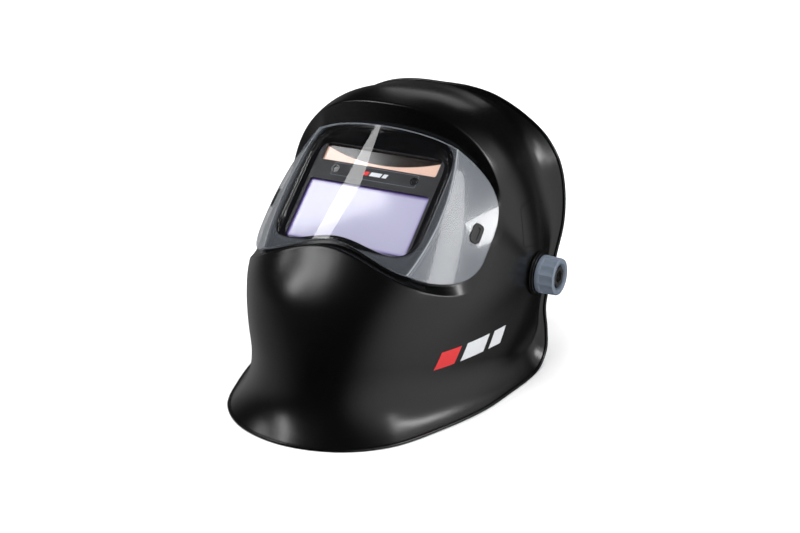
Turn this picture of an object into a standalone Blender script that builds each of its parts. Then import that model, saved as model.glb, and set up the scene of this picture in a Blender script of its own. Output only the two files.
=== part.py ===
"""Auto-darkening welding helmet: outer shell, front cover lens, filter cartridge, pivot hardware and headgear.

Metres, +Z up. The helmet stands on its rim, its front faces -Y and the wearer's left is +X.
Two frames are used besides the world. The face frame has its origin on the tilt axis, its local X along
world X, its local Y up the filter and its local Z out through the filter. The head frame has the same
origin and X, its local Y points to the back of the head and its local Z to the crown.
"""

from math import cos, pi, radians, sin

import bmesh
import bpy
import numpy as np
from mathutils import Matrix, Vector

MM = 0.001
OBJECT_NAME = "welding_helmet"

# ---- driving dimensions, in millimetres and degrees unless a name says otherwise
PIVOT_Y, PIVOT_Z = 31.5, 81.0  # the tilt axis
FACE_TILT = 42.5  # turns the face frame about X, so that its Z looks forward and up
HEAD_TILT = -18.0  # turns the head frame about X: the band's back sits lower than its front
GAP = 0.3  # between pieces that touch

SHELL_WALL = 2.6
SHELL_HALF_WIDTH = 101.6
# centre profile about the tilt axis: (angle from straight ahead, distance)
PROFILE = ((-90, 140), (-45, 170), (-17, 184), (2, 165), (20, 143.5), (43, 150.5), (68, 139.6),
           (78, 137.5), (90, 132.6), (103, 130), (120, 112), (150, 95))
# how boxy the cross-section is: (same angle, power)
BOXINESS = ((-60, 2.15), (-15, 2.08), (10, 2.6), (32, 2.5), (50, 2.1), (70, 2.5), (95, 2.45), (130, 2.8))
# free edge, one half and a row past each end: (loop angle, x, y, z, direction of the lip in the side view)
EDGE = ((-12, -24, 67.5, 207.5, 0), (0, 0, 67.5, 208, 0), (12, 24, 67.5, 207.5, 0),
        (24, 47, 67.5, 203, 0), (36, 71, 67.5, 191.5, 0), (47, 90, 67.5, 176.5, 0),
        (57, 101.5, 67.5, 158, 0), (66, 106, 67.5, 137, 0),
        (75, 106.5, 66.5, 112, 0), (84, 103, 62.5, 86, -5), (92, 101, 55, 62, -8), (99, 100.5, 51, 46, -5),
        (106, 101, 54, 28, -20), (112, 102, 52.5, 12, -45), (118, 103, 40, 2, -75), (125, 104, 20, 0, -90),
        (134, 102.8, -9, 0, -90), (143, 98.8, -51.3, 0, -90), (152, 86.0, -96.0, 0, -90),
        (162, 67.5, -136.5, 0, -90), (171, 38.5, -160.2, 0, -90), (180, 0, -169, 0, -90),
        (189, -38.5, -160.2, 0, -90))
# how far in from the edge the lip starts: (loop angle, distance)
FLANGE = ((0, 20), (90, 20), (104, 13), (118, 11), (128, 15), (142, 28), (158, 41), (180, 42), (202, 41))
LIP_ANGLE_BOTTOM, LIP_ANGLE_REAR = 48.0, 38.0

# outlines in the face frame, from a middle height: half width, reach up, reach down at the middle, how much
# further down at the sides, the side distance where that is complete, and the powers above and below
BAY = (-29.0, 94.7, 79.5, 40.3, 17.0, 80.0, 3.3, 3.3)
LENS = (-29.0, 93.7, 65.5, 31.9, 20.0, 75.0, 3.6, 2.6)
FOOT = (-29.0, 91.6, 67.0, 33.4, 19.5, 75.0, 3.6, 2.6)
OPENING = (-16.4, 58.5, 50.4, 41.6, 6.5, 45.0, 6.0, 6.0)
SEAT = (-16.4, 52.4, 41.3, 41.2, 0.0, 45.0, 12.0, 12.0)  # inner edge of the gasket, on the cartridge

LENS_FRONT, LENS_RADIUS = 121.5, 146.5
CREASE, CREASE_MID, CREASE_BOW = 65.4, -22.0, 0.0024  # the crease curves in towards the lens's top and bottom
LENS_WING_SLOPE, LENS_WING_BEND = 1.02, 0.0035
LENS_WALL, LENS_TO_FLOOR = 2.0, 4.6
LENS_COLUMNS, LENS_ROWS = 40, 8
CLIP_X, CLIP_UP = 85.3, -18.6

# the filter cartridge, in the face frame
CASE_HALF, CASE_MID, CASE_CORNER = (54.6, 43.6), -16.4, 8.0
CASE_FRONT, CASE_SPLIT, CASE_BACK = 105.5, 103.8, 96.6
FILTER_LAYER, SHUTTER_LAYER, PLATE_LAYER = (101.7, 103.5), (98.0, 101.5), (95.3, 96.3)
SOLAR_LAYER, BOARD_LAYER, CELL_LAYER = (102.5, 103.5), (100.8, 102.0), (98.0, 100.5)
SENSOR_LAYER, BUTTON_LAYER, CAP_LAYER = (102.5, 105.0), (94.0, 99.8), (95.2, 97.6)
RETAINER_LAYERS = (92.0, 95.0, 99.4)
WINDOW_HALF, WINDOW_MID = (50.0, 25.0), -31.6
SOLAR_HALF, SOLAR_MID = (48.0, 7.2), 17.0
SENSOR_X, SENSOR_UP = 33.0, 3.5
CONTROL_UP = 12.0
SENSOR_RADIUS, SHAFT_RADIUS, BUTTON_RADIUS, CELL_RADIUS = 2.1, 2.8, 3.3, 9.6
PLAY = 0.4  # clearance round a turning or sliding shaft
# name, distance to the side, radius and depth of each dial
DIALS = (("shade_dial", 0.0, 9.5, 89.5), ("sensitivity_dial", -42.0, 6.0, 91.0),
         ("delay_dial", -24.0, 6.0, 91.0))
BUTTON_X, CELL_X = 19.0, 38.0

# pivot hardware, distances out along the tilt axis
WASHER = (101.9, 104.4)
KNOB = (104.7, 120.0)
FRICTION = (96.8, 98.2)
PLATE = (92.6, 96.5)
ARM = (88.3, 92.3)
BOLT_HEAD = (84.5, 88.0)
BOLT_RADIUS, PEG_RADIUS, PEG_ORBIT = 5.0, 2.2, 15.0
TILT_DOWN, TILT_UP, REACH = 29.5, 40.5, 12.0

# headgear, in the head frame
BAND_HALF_WIDTH, BAND_FRONT, BAND_SIDE_END = 76.0, 45.0, 75.0
BAND_HALF_HEIGHT, BAND_WALL = 13.0, 2.2
BAND_RISE, BAND_SLOPE = 10.0, -0.2
STRAP_HALF_WIDTH, STRAP_BACK, STRAP_WALL, STRAP_POWER = 73.2, 121.25, 1.6, 2.6
STRAP_START = 44.0  # clear of the front crown strap at the end of the ratchet's travel
HOUSING_SIZE = (68, 28)  # width and height of the ratchet housing


def clear_scene():
    """Empties the scene and makes the collection that every part goes into."""
    for obj in list(bpy.data.objects):
        bpy.data.objects.remove(obj, do_unlink=True)
    bpy.context.scene.collection.children.link(bpy.data.collections.new(OBJECT_NAME))


def material(name, colour, roughness, metallic=0.0, alpha=1.0):
    mat = bpy.data.materials.new(name)
    mat.use_nodes = True
    shader = mat.node_tree.nodes["Principled BSDF"]
    shader.inputs["Base Color"].default_value = (*colour, 1)
    shader.inputs["Roughness"].default_value = roughness
    shader.inputs["Metallic"].default_value = metallic
    shader.inputs["Alpha"].default_value = alpha
    mat.diffuse_color = (*colour, alpha)
    return mat


def frame(name, tilt):
    """An empty on the tilt axis, turned about X."""
    empty = bpy.data.objects.new(name, None)
    bpy.context.scene.collection.objects.link(empty)
    empty.location = (0, PIVOT_Y * MM, PIVOT_Z * MM)
    empty.rotation_euler = (radians(tilt), 0, 0)
    return empty


def add(name, mesh, mat, parent=None, place=(0, 0, 0), turn=(0, 0, 0), smooth=False):
    """Links a mesh given in millimetres as an object, placed in its parent's frame in millimetres."""
    mesh.transform(Matrix.Scale(MM, 4))
    mesh.materials.append(mat)
    mesh.shade_smooth() if smooth else mesh.shade_flat()
    obj = bpy.data.objects.new(name, mesh)
    bpy.data.collections[OBJECT_NAME].objects.link(obj)
    obj.parent = parent
    obj.location = Vector(place) * MM
    obj.rotation_euler = [radians(a) for a in turn]
    return obj


def mesh_of(bm, name="piece"):
    mesh = bpy.data.meshes.new(name)
    bmesh.ops.recalc_face_normals(bm, faces=bm.faces)
    bm.to_mesh(mesh)
    bm.free()
    return mesh


def block(size, centre=(0, 0, 0), rounding=0.0):
    bm = bmesh.new()
    bmesh.ops.create_cube(bm, size=1)
    bmesh.ops.scale(bm, vec=size, verts=bm.verts)
    bmesh.ops.translate(bm, vec=centre, verts=bm.verts)
    if rounding:
        bmesh.ops.bevel(bm, geom=bm.edges[:], offset=rounding, segments=2, profile=0.5, affect="EDGES")
    return mesh_of(bm)


def slab(size, layer, mid=(0, 0)):
    """A plain block of the given width and height, filling a layer along Z."""
    return block((*size, layer[1] - layer[0]), (*mid, sum(layer) / 2))


def turned(profile, steps=32):
    """A solid of revolution about Z from (radius, height) points; a ring when no point is on the axis."""
    bm = bmesh.new()
    points = [bm.verts.new((r, 0, z)) for r, z in profile]
    edges = [bm.edges.new(pair) for pair in zip(points, points[1:])]
    if profile[0][0] > 0:
        edges.append(bm.edges.new((points[-1], points[0])))
    bmesh.ops.spin(bm, geom=points + edges, cent=(0, 0, 0), axis=(0, 0, 1), angle=2 * pi, steps=steps,
                   use_merge=True)
    bmesh.ops.remove_doubles(bm, verts=bm.verts, dist=1e-4)
    return mesh_of(bm)


def disc(radius, low, high, steps=32, chamfer=0.0):
    c = chamfer
    sides = [(radius - c, high), (radius, high - c), (radius, low + c), (radius - c, low)] if c else \
        [(radius, high), (radius, low)]
    return turned([(0, high), *sides, (0, low)], steps)


def ring(outer, inner, low, high, steps=32):
    return turned([(outer, low), (outer, high), (inner, high), (inner, low)], steps)


def rounded(half_x, half_y, radius, mid=(0, 0), arc=4):
    """Corner points of a rounded rectangle, anticlockwise."""
    points = []
    for k in range(4):
        sx, sy = (1, 1, -1, -1)[k], (-1, 1, 1, -1)[k]
        for i in range(arc + 1):
            a = radians(-90 + 90 * k + 90 * i / arc)
            points.append((mid[0] + sx * (half_x - radius) + radius * cos(a),
                           mid[1] + sy * (half_y - radius) + radius * sin(a)))
    return points


def plate(outline, low, high, holes=()):
    """A flat outline with holes, thick from low to high along Z."""
    curve = bpy.data.curves.new("outline", "CURVE")
    curve.dimensions = "2D"
    curve.fill_mode = "BOTH"
    curve.extrude = (high - low) / 2
    for loop in (outline, *holes):
        spline = curve.splines.new("POLY")
        spline.points.add(len(loop) - 1)
        for point, (x, y) in zip(spline.points, loop):
            point.co = (x, y, 0, 1)
        spline.use_cyclic_u = True
    helper = bpy.data.objects.new("outline", curve)
    mesh = bpy.data.meshes.new_from_object(helper)
    bpy.data.objects.remove(helper)
    bm = bmesh.new()
    bm.from_mesh(mesh)
    bmesh.ops.translate(bm, vec=(0, 0, (low + high) / 2), verts=bm.verts)
    bmesh.ops.remove_doubles(bm, verts=bm.verts, dist=1e-4)
    return mesh_of(bm)


def boolean(obj, tools, operation="DIFFERENCE"):
    """Cuts or joins meshes in obj's own millimetre frame and applies the result."""
    for mesh in tools:
        mesh.transform(Matrix.Scale(MM, 4))
        tool = bpy.data.objects.new("tool", mesh)
        bpy.context.scene.collection.objects.link(tool)
        tool.parent = obj.parent
        tool.location, tool.rotation_euler = obj.location, obj.rotation_euler
        modifier = obj.modifiers.new("cut", "BOOLEAN")
        modifier.operation, modifier.solver, modifier.object = operation, "EXACT", tool
        bpy.context.view_layer.update()
        result = bpy.data.meshes.new_from_object(obj.evaluated_get(bpy.context.evaluated_depsgraph_get()))
        obj.modifiers.clear()
        obj.data = result
        bpy.data.objects.remove(tool)
    return obj


def moved(mesh, place=(0, 0, 0), turn=(0, 0, 0)):
    for axis, angle in zip("XYZ", turn):
        mesh.transform(Matrix.Rotation(radians(angle), 4, axis))
    mesh.transform(Matrix.Translation(place))
    return mesh


# ---- the shell's surface, worked out in millimetres about the tilt axis

def smooth(x, table, column=1):
    """Cubic interpolation through a table's rows, with the first column as the key."""
    rows = np.array(table, float)
    keys, values = rows[:, 0], rows[:, column]
    slope = np.gradient(values, keys)
    x = np.clip(x, keys[0], keys[-1])
    i = np.clip(np.searchsorted(keys, x) - 1, 0, len(keys) - 2)
    h = keys[i + 1] - keys[i]
    t = (x - keys[i]) / h
    return ((2 * t**3 - 3 * t**2 + 1) * values[i] + (t**3 - 2 * t**2 + t) * h * slope[i]
            + (3 * t**2 - 2 * t**3) * values[i + 1] + (t**3 - t**2) * h * slope[i + 1])


def unit(vectors):
    return vectors / np.linalg.norm(vectors, axis=1, keepdims=True)


def reach(directions):
    """Distance from the tilt axis's centre to the shell's outer face along each unit direction."""
    around = np.hypot(directions[:, 1], directions[:, 2])
    angle = np.degrees(np.arctan2(directions[:, 2], -directions[:, 1]))
    power = smooth(angle, BOXINESS)
    return ((np.abs(directions[:, 0]) / SHELL_HALF_WIDTH) ** power
            + (around / smooth(angle, PROFILE)) ** power) ** (-1 / power)


TILT = radians(FACE_TILT)
UP_FILTER = np.array((0, cos(TILT), sin(TILT)))
OUT_FILTER = np.array((0, -sin(TILT), cos(TILT)))


def face_point(x, up, out):
    return np.outer(x, (1, 0, 0)) + np.outer(up, UP_FILTER) + np.outer(out, OUT_FILTER)


def lens_depth(x, up):
    """Front face of the cover lens, out along the face frame."""
    side = np.abs(x)
    crease = CREASE - CREASE_BOW * (up - CREASE_MID) ** 2
    wing = np.maximum(side - crease, 0)
    middle = LENS_FRONT - np.minimum(side, crease) ** 2 / (2 * LENS_RADIUS)
    return middle - LENS_WING_SLOPE * wing - LENS_WING_BEND * wing**2


def signed_power(value, power):
    return np.sign(value) * np.abs(value) ** power


def outline_heights(outline, x, inset=0.0):
    """The top and the bottom of an outline at sideways distances x."""
    mid, half_width, top, bottom, dip, dip_end, power_up, power_down = outline
    share = np.clip(np.abs(x) / dip_end, 0, 1)
    ratio = np.clip(np.abs(x) / (half_width - inset), 0, 1)
    upper = (top - inset) * (1 - ratio**power_up) ** (1 / power_up)
    lower = (bottom - inset + dip * share**2 * (3 - 2 * share)) * (1 - ratio**power_down) ** (1 / power_down)
    return mid + upper, mid - lower


def outline_loop(outline, t, inset=0.0):
    """An outline's points (x, up) at loop angles t: 0 at the top, 90 on the wearer's left."""
    power = np.where(np.cos(t) > 0, outline[6], outline[7])
    x = (outline[1] - inset) * signed_power(np.sin(t), 2 / power)
    upper, lower = outline_heights(outline, x, inset)
    return x, np.where(np.cos(t) > 0, upper, lower)


def on_surface(x, up):
    """Lifts (x, up) points out along the face frame onto the shell's outer face."""
    low, high = np.zeros_like(x), np.full_like(x, 220.0)
    for _ in range(40):
        middle = (low + high) / 2
        points = face_point(x, up, middle)
        inside = np.linalg.norm(points, axis=1) < reach(unit(points))
        low, high = np.where(inside, middle, low), np.where(inside, high, middle)
    return face_point(x, up, low)


def edge_loop(t):
    """Free edge's points, the direction the lip points in, and its outward side, about the tilt axis."""
    angle = np.degrees(np.abs(t))
    table = np.array(EDGE, float)
    x, y, z, lean = (smooth(angle, table, k) for k in (1, 2, 3, 4))
    points = np.stack((x * np.sign(t + 1e-9), y - PIVOT_Y, z - PIVOT_Z), 1)
    along = np.roll(points, -1, 0) - np.roll(points, 1, 0)
    lean = np.radians(lean)
    lip = np.stack((0 * lean, np.cos(lean), np.sin(lean)), 1)
    outward = unit(np.cross(along, lip))
    return points, unit(np.cross(outward, along)), outward


def between(start, end, share):
    """Points on the outer face along the arc from one direction to another."""
    a, b = unit(start), unit(end)
    angle = np.arccos(np.clip((a * b).sum(1), -1, 1))[:, None]
    direction = unit(np.sin((1 - share) * angle) * a + np.sin(share * angle) * b)
    return direction * reach(direction)[:, None]


def shell_rows(count, body_rows, lip_rows):
    """Rings of points from the filter opening, over the lens bay, the body and the lip to the free edge."""
    fine = np.linspace(-pi, pi, 2001)
    bx, bw = outline_loop(BAY, fine)
    run = np.concatenate(([0], np.cumsum(np.hypot(np.diff(bx), np.diff(bw)))))
    t = np.interp(np.arange(count) * run[-1] / count, run, fine)
    hole, foot = (np.array(outline_loop(outline, t)) for outline in (OPENING, FOOT))
    crest = on_surface(*outline_loop(BAY, t))
    edge, lip, outward = edge_loop(t)
    down = np.clip((np.degrees(np.abs(t)) - 95) / 30, 0, 1)[:, None]
    width = smooth(np.degrees(np.abs(t)), FLANGE)[:, None]
    neck = unit(edge - width * lip)
    neck = neck * reach(neck)[:, None]
    floor = [hole + (foot - hole) * share for share in (0, 0.22, 1)]
    rows = [face_point(x, up, lens_depth(x, up) - LENS_TO_FLOOR) for x, up in floor] + [crest]
    rows += [between(crest, neck, k / body_rows) for k in range(1, body_rows + 1)]
    leave = unit(rows[-1] - rows[-2])
    arrive = np.radians(LIP_ANGLE_REAR + (LIP_ANGLE_BOTTOM - LIP_ANGLE_REAR) * down)
    arrive = np.cos(arrive) * lip + np.sin(arrive) * outward
    pull = 0.4 * np.linalg.norm(edge - neck, axis=1, keepdims=True)
    for k in range(1, lip_rows + 1):
        s = k / lip_rows
        rows.append((1 - s) ** 3 * neck + 3 * s * (1 - s) ** 2 * (neck + pull * leave)
                    + 3 * s**2 * (1 - s) * (edge - pull * arrive) + s**3 * edge)
    return [row + (0, PIVOT_Y, PIVOT_Z) for row in rows]


def skin(rows):
    """Faces between rings of points that each close on themselves."""
    bm = bmesh.new()
    rings = [[bm.verts.new(p) for p in row] for row in rows]
    for inner, outer in zip(rings, rings[1:]):
        for i in range(len(inner)):
            j = (i + 1) % len(inner)
            bm.faces.new((inner[i], inner[j], outer[j], outer[i]))
    return bm


def thicken(obj, wall):
    """Gives a surface a wall on its inner side and applies it."""
    modifier = obj.modifiers.new("wall", "SOLIDIFY")
    modifier.thickness = wall * MM
    modifier.offset = -1
    bpy.context.view_layer.update()
    obj.data = bpy.data.meshes.new_from_object(obj.evaluated_get(bpy.context.evaluated_depsgraph_get()))
    obj.modifiers.clear()
    return obj


# ---- the shell and what sits in its front

def build_shell(mat):
    rows = shell_rows(count=72, body_rows=7, lip_rows=4)
    shell = add("shell", mesh_of(skin(rows)), mat, smooth=True)
    middle = shell.data.polygons[len(rows) // 2 * len(rows[0])]
    if middle.normal.dot(middle.center - Vector((0, PIVOT_Y, PIVOT_Z)) * MM) < 0:
        shell.data.flip_normals()
    thicken(shell, SHELL_WALL)
    pegs = [moved(disc(PEG_RADIUS, PLATE[0] + GAP, FRICTION[1] + 1.9, 16), (0, 0, PEG_ORBIT), (0, 90 * side, 0))
            for side in (1, -1)]
    boolean(shell, [moved(peg, (0, PIVOT_Y, PIVOT_Z), (HEAD_TILT, 0, 0)) for peg in pegs], "UNION")
    below = block((400, 500, 40), (0, 0, -20))
    bolt_hole = moved(disc(BOLT_RADIUS + 0.6, -150, 150, 24), (0, PIVOT_Y, PIVOT_Z), (0, 90, 0))
    return boolean(shell, [below, bolt_hole])


def clip_place(side):
    """Where a lens clip stands and how far its axis leans from straight ahead."""
    slope = LENS_WING_SLOPE + 2 * LENS_WING_BEND * (CLIP_X - CREASE)
    return (side * CLIP_X, CLIP_UP, float(lens_depth(CLIP_X, CLIP_UP))), side * np.degrees(np.arctan(slope))


def build_lens(clear, black, face):
    bm = bmesh.new()
    across = LENS[1] * signed_power(np.sin(np.linspace(-pi / 2, pi / 2, LENS_COLUMNS + 1)), 2 / LENS[6])
    top, bottom = outline_heights(LENS, across)
    columns = []
    for k, x in enumerate(across):
        ups = np.linspace(top[k], bottom[k], LENS_ROWS + 1)
        columns.append([bm.verts.new((x, up, lens_depth(x, up))) for up in ups])
    for a, b in zip(columns, columns[1:]):
        for k in range(LENS_ROWS):
            bm.faces.new((a[k], a[k + 1], b[k + 1], b[k]))
    bmesh.ops.remove_doubles(bm, verts=bm.verts, dist=1e-3)
    lens = add("front_cover_lens", mesh_of(bm), clear, face)
    if lens.data.polygons[len(lens.data.polygons) // 2].normal.z < 0:
        lens.data.flip_normals()
    thicken(lens, LENS_WALL)
    for side, name in ((1, "left"), (-1, "right")):
        place, lean = clip_place(side)
        slot = plate(rounded(4.6, 8.1, 4.2), -6, 6)
        boolean(lens, [moved(slot, place, (0, lean, 0))])
        add("lens_clip_" + name, plate(rounded(4.0, 7.5, 3.6), -2.5, 0.8), black, face, place, (0, lean, 0))
    return lens


def build_gasket(mat, face):
    """A tapered rubber frame between the bay's floor and the cartridge."""
    t = np.linspace(-pi, pi, 72, endpoint=False)
    seat = CASE_FRONT + GAP
    x, up = outline_loop(OPENING, t, 0.7)
    front = np.maximum(lens_depth(x, up) - LENS_TO_FLOOR - 0.2, seat + 1.2)
    inner_x, inner_up = outline_loop(SEAT, t)
    level = np.full_like(x, seat)
    rings = [np.stack(ring, 1) for ring in ((x, up, front), (inner_x, inner_up, level), (x, up, level))]
    return add("window_gasket", mesh_of(skin(rings + rings[:1])), mat, face)


def build_cartridge(mats, face):
    x, y = CASE_HALF
    outline = rounded(x, y, CASE_CORNER, (0, CASE_MID), 3)
    window = rounded(*WINDOW_HALF, 2, (0, WINDOW_MID), 2)
    solar = rounded(*SOLAR_HALF, 1, (0, SOLAR_MID), 1)
    sensors = [rounded(2.5, 2.5, 2.4, (s * SENSOR_X, SENSOR_UP), 3) for s in (1, -1)]
    add("adf_case_front", plate(outline, CASE_SPLIT, CASE_FRONT, [window, solar, *sensors]), mats["case"], face)
    rear = add("adf_case_rear", plate(outline, CASE_BACK, CASE_SPLIT - GAP), mats["case"], face)
    pocket = rounded(x - 2, y - 2, 2, (0, CASE_MID), 2)
    holes = [plate(pocket, SHUTTER_LAYER[0] - GAP, CASE_FRONT), plate(window, 90, 100)]
    holes += [moved(disc(SHAFT_RADIUS + PLAY, 90, 100, 16), (dial[1], CONTROL_UP, 0)) for dial in DIALS]
    holes += [moved(disc(BUTTON_RADIUS + 0.5, 90, 100, 16), (BUTTON_X, CONTROL_UP, 0)),
              moved(disc(CELL_RADIUS + PLAY, 90, 100, 24), (CELL_X, CONTROL_UP, 0))]
    boolean(rear, holes)
    for name, size, up, layer, mat in (
            ("uv_ir_filter", (102.4, 52), WINDOW_MID, FILTER_LAYER, "filter"),
            ("lcd_shutter", (102.4, 52), WINDOW_MID, SHUTTER_LAYER, "lcd"),
            ("solar_cell", (99, 16), SOLAR_MID, SOLAR_LAYER, "solar"),
            ("circuit_board", (100, 27), 10.5, BOARD_LAYER, "board")):
        add(name, slab(size, layer, (0, up)), mats[mat], face)
    add("coin_cell", disc(CELL_RADIUS, *CELL_LAYER, 24), mats["metal"], face, (CELL_X, CONTROL_UP, 0))
    for side, name in ((1, "left"), (-1, "right")):
        sensor = disc(SENSOR_RADIUS, *SENSOR_LAYER, 12)
        add("arc_sensor_" + name, sensor, mats["dark"], face, (side * SENSOR_X, SENSOR_UP, 0))
    for name, place, radius, low in DIALS:
        dial = disc(radius, low, CASE_BACK - GAP, 28, 0.6)
        shaft = disc(SHAFT_RADIUS, low + 1, 100.2, 16)
        boolean(add(name, dial, mats["grip"], face, (place, CONTROL_UP, 0)), [shaft], "UNION")
    button = disc(BUTTON_RADIUS, *BUTTON_LAYER, 16, 0.5)
    button = add("test_button", button, mats["grip"], face, (BUTTON_X, CONTROL_UP, 0))
    boolean(button, [disc(4.8, BUTTON_LAYER[1] - 1.4, BUTTON_LAYER[1] - 0.2, 16)], "UNION")
    cap = disc(CELL_RADIUS, *CAP_LAYER, 24, 0.4)
    cap = add("battery_cap", cap, mats["grip"], face, (CELL_X, CONTROL_UP, 0))
    boolean(cap, [block((12, 1.6, 1.6), (0, 0, CAP_LAYER[0]))])


def build_inner_frame(black, clear, face):
    add("inner_cover_plate", slab((104, 53), PLATE_LAYER, (0, WINDOW_MID)), clear, face)
    x, y = CASE_HALF
    pocket = rounded(x + 0.5, y + 0.5, CASE_CORNER, (0, CASE_MID), 3)
    outline = rounded(x + 3, y + 3, CASE_CORNER, (0, CASE_MID))
    mouth = rounded(x - 4, y - 4, 4, (0, CASE_MID))
    low, seat, high = RETAINER_LAYERS
    retainer = add("adf_retainer", plate(outline, low, high, [pocket]), black, face)
    boolean(retainer, [plate(outline, low, seat, [mouth])], "UNION")


# ---- pivot hardware, one set on each side

def fluted(low, high, radius, depth, flutes):
    """A grip with rounded flutes round its side."""
    points = []
    for i in range(flutes * 6):
        a = 2 * pi * i / (flutes * 6)
        r = radius - depth * abs(sin(flutes * a / 2)) ** 3
        points.append((r * cos(a), r * sin(a)))
    return plate(points, low, high)


def build_pivot(side, name, mats, head):
    turn = (0, 90 * side, 0)
    washer = add("outer_washer_" + name, ring(17, BOLT_RADIUS + 0.6, *WASHER), mats["gloss"], None,
                 (0, PIVOT_Y, PIVOT_Z), turn)
    bolt = add("pivot_bolt_" + name, disc(BOLT_RADIUS, BOLT_HEAD[0], 115.8, 24), mats["metal"], head, turn=turn)
    boolean(bolt, [disc(9, *BOLT_HEAD, 6, 0.8)], "UNION")
    add("friction_washer_" + name, ring(11, BOLT_RADIUS + PLAY, *FRICTION, 28), mats["rubber"], head, turn=turn)
    stop = add("tilt_plate_" + name, ring(20, BOLT_RADIUS + PLAY, *PLATE, 36), mats["black"], head, turn=turn)
    # the peg on the shell travels in this slot; seen from outside it turns the other way on the right
    up = 180 if side > 0 else 0
    first, last = up - side * (TILT_UP + 2), up + side * (TILT_DOWN + 2)
    arcs = [(radians(a), r) for r, angles in ((PEG_ORBIT + 2.7, (first, last)), (PEG_ORBIT - 2.7, (last, first)))
            for a in np.linspace(*angles, 13)]
    grow = radians(side * 10)
    ends = (radians(first) - grow, radians(last) + grow)
    arcs = [(ends[0], PEG_ORBIT)] + arcs[:13] + [(ends[1], PEG_ORBIT)] + arcs[13:]
    outline = [(r * cos(a), r * sin(a)) for a, r in arcs]
    boolean(stop, [plate(outline[::side], PLATE[0] - 1, PLATE[1] + 1)])
    low, high = KNOB
    knob = add("knob_" + name, disc(14.6, low, low + 3.5, 36, 0.5), mats["knob"], head, turn=turn)
    boolean(knob, [fluted(low + 2, high, 14.4, 1.5, 12)], "UNION")
    boolean(knob, [disc(BOLT_RADIUS + PLAY, low - 1, 116.2, 24), disc(9.6, 116.8, high + 1, 24)])
    add("knob_insert_" + name, disc(7.0, 117.1, 119.0, 6, 0.4), mats["dark"], head, turn=turn)
    return washer


# ---- headgear

def ribbon(path, wall, low, high):
    """A strip of the given wall that follows a path in the XY plane."""
    path = np.array(path, float)
    along = np.gradient(path, axis=0)
    normal = unit(np.stack((along[:, 1], -along[:, 0]), 1))
    sides = np.concatenate((path + normal * wall / 2, (path - normal * wall / 2)[::-1]))
    return plate([tuple(p) for p in sides], low, high)


def sloped(mesh):
    """The band sits high on the brow and low at the nape."""
    shear = Matrix.Identity(4)
    shear[2][1], shear[2][3] = BAND_SLOPE, BAND_RISE
    mesh.transform(shear)
    return mesh


def oval(half_width, depth, first, last, count, power=2.0):
    """Points of a half oval from angle first to last; 0 is at +X and 90 at the far end of its depth."""
    a = np.radians(np.linspace(first, last, count))
    return np.stack((half_width * signed_power(np.cos(a), 2 / power), depth * np.sin(a) ** (2 / power)), 1)


def build_headband(mats, head):
    front = oval(BAND_HALF_WIDTH, BAND_FRONT, 0, 180, 37) * (1, -1)
    right, left = [(-BAND_HALF_WIDTH, BAND_SIDE_END)], [(BAND_HALF_WIDTH, BAND_SIDE_END)]
    path = np.concatenate((left, front, right))
    add("headband", sloped(ribbon(path, BAND_WALL, -BAND_HALF_HEIGHT, BAND_HALF_HEIGHT)), mats["band"], head)
    inner = BAND_WALL / 2 + GAP + 3
    pad = oval(BAND_HALF_WIDTH - inner, BAND_FRONT - inner, 28, 152, 25) * (1, -1)
    add("brow_pad", sloped(ribbon(pad, 6.0, -15, 15)), mats["foam"], head)
    for name, half_width, back, crown in (("front", 73.6, 22, 82), ("rear", 71.0, 58, 78)):
        arch = oval(half_width, crown - 12, 0, 180, 31) + (0, 12)
        path = np.concatenate(([(half_width, -2)], arch, [(-half_width, -2)]))
        add("crown_strap_" + name, ribbon(path, 1.8, -9, 9), mats["band"], head, (0, back, 0), (90, 0, 0))


def build_arm(side, name, mats, head):
    inner, outer = ARM
    outline = [(outer, -20), (outer, 34), (82, 62), (82, 78), (78.2, 78), (78.2, 62), (inner, 34), (inner, -20)]
    outline = [(side * x, y) for x, y in outline][::side]
    arm = add("side_arm_" + name, plate(outline, -11, 11), mats["band"], head)
    reach_slot = BOLT_RADIUS + PLAY
    slot = plate(rounded(reach_slot, reach_slot + REACH + 0.5, reach_slot - 0.1), inner - 2, outer + 2)
    boolean(arm, [moved(slot, turn=(0, 90 * side, 0))])


def strap_path(side, back, end):
    """A nape strap: straight beside the head, then round behind it and past the middle."""
    bend = oval(STRAP_HALF_WIDTH, back - BAND_SIDE_END, 0, end, 31, STRAP_POWER) + (0, BAND_SIDE_END)
    return np.concatenate(([(STRAP_HALF_WIDTH, STRAP_START)], bend)) * (side, 1)


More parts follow.
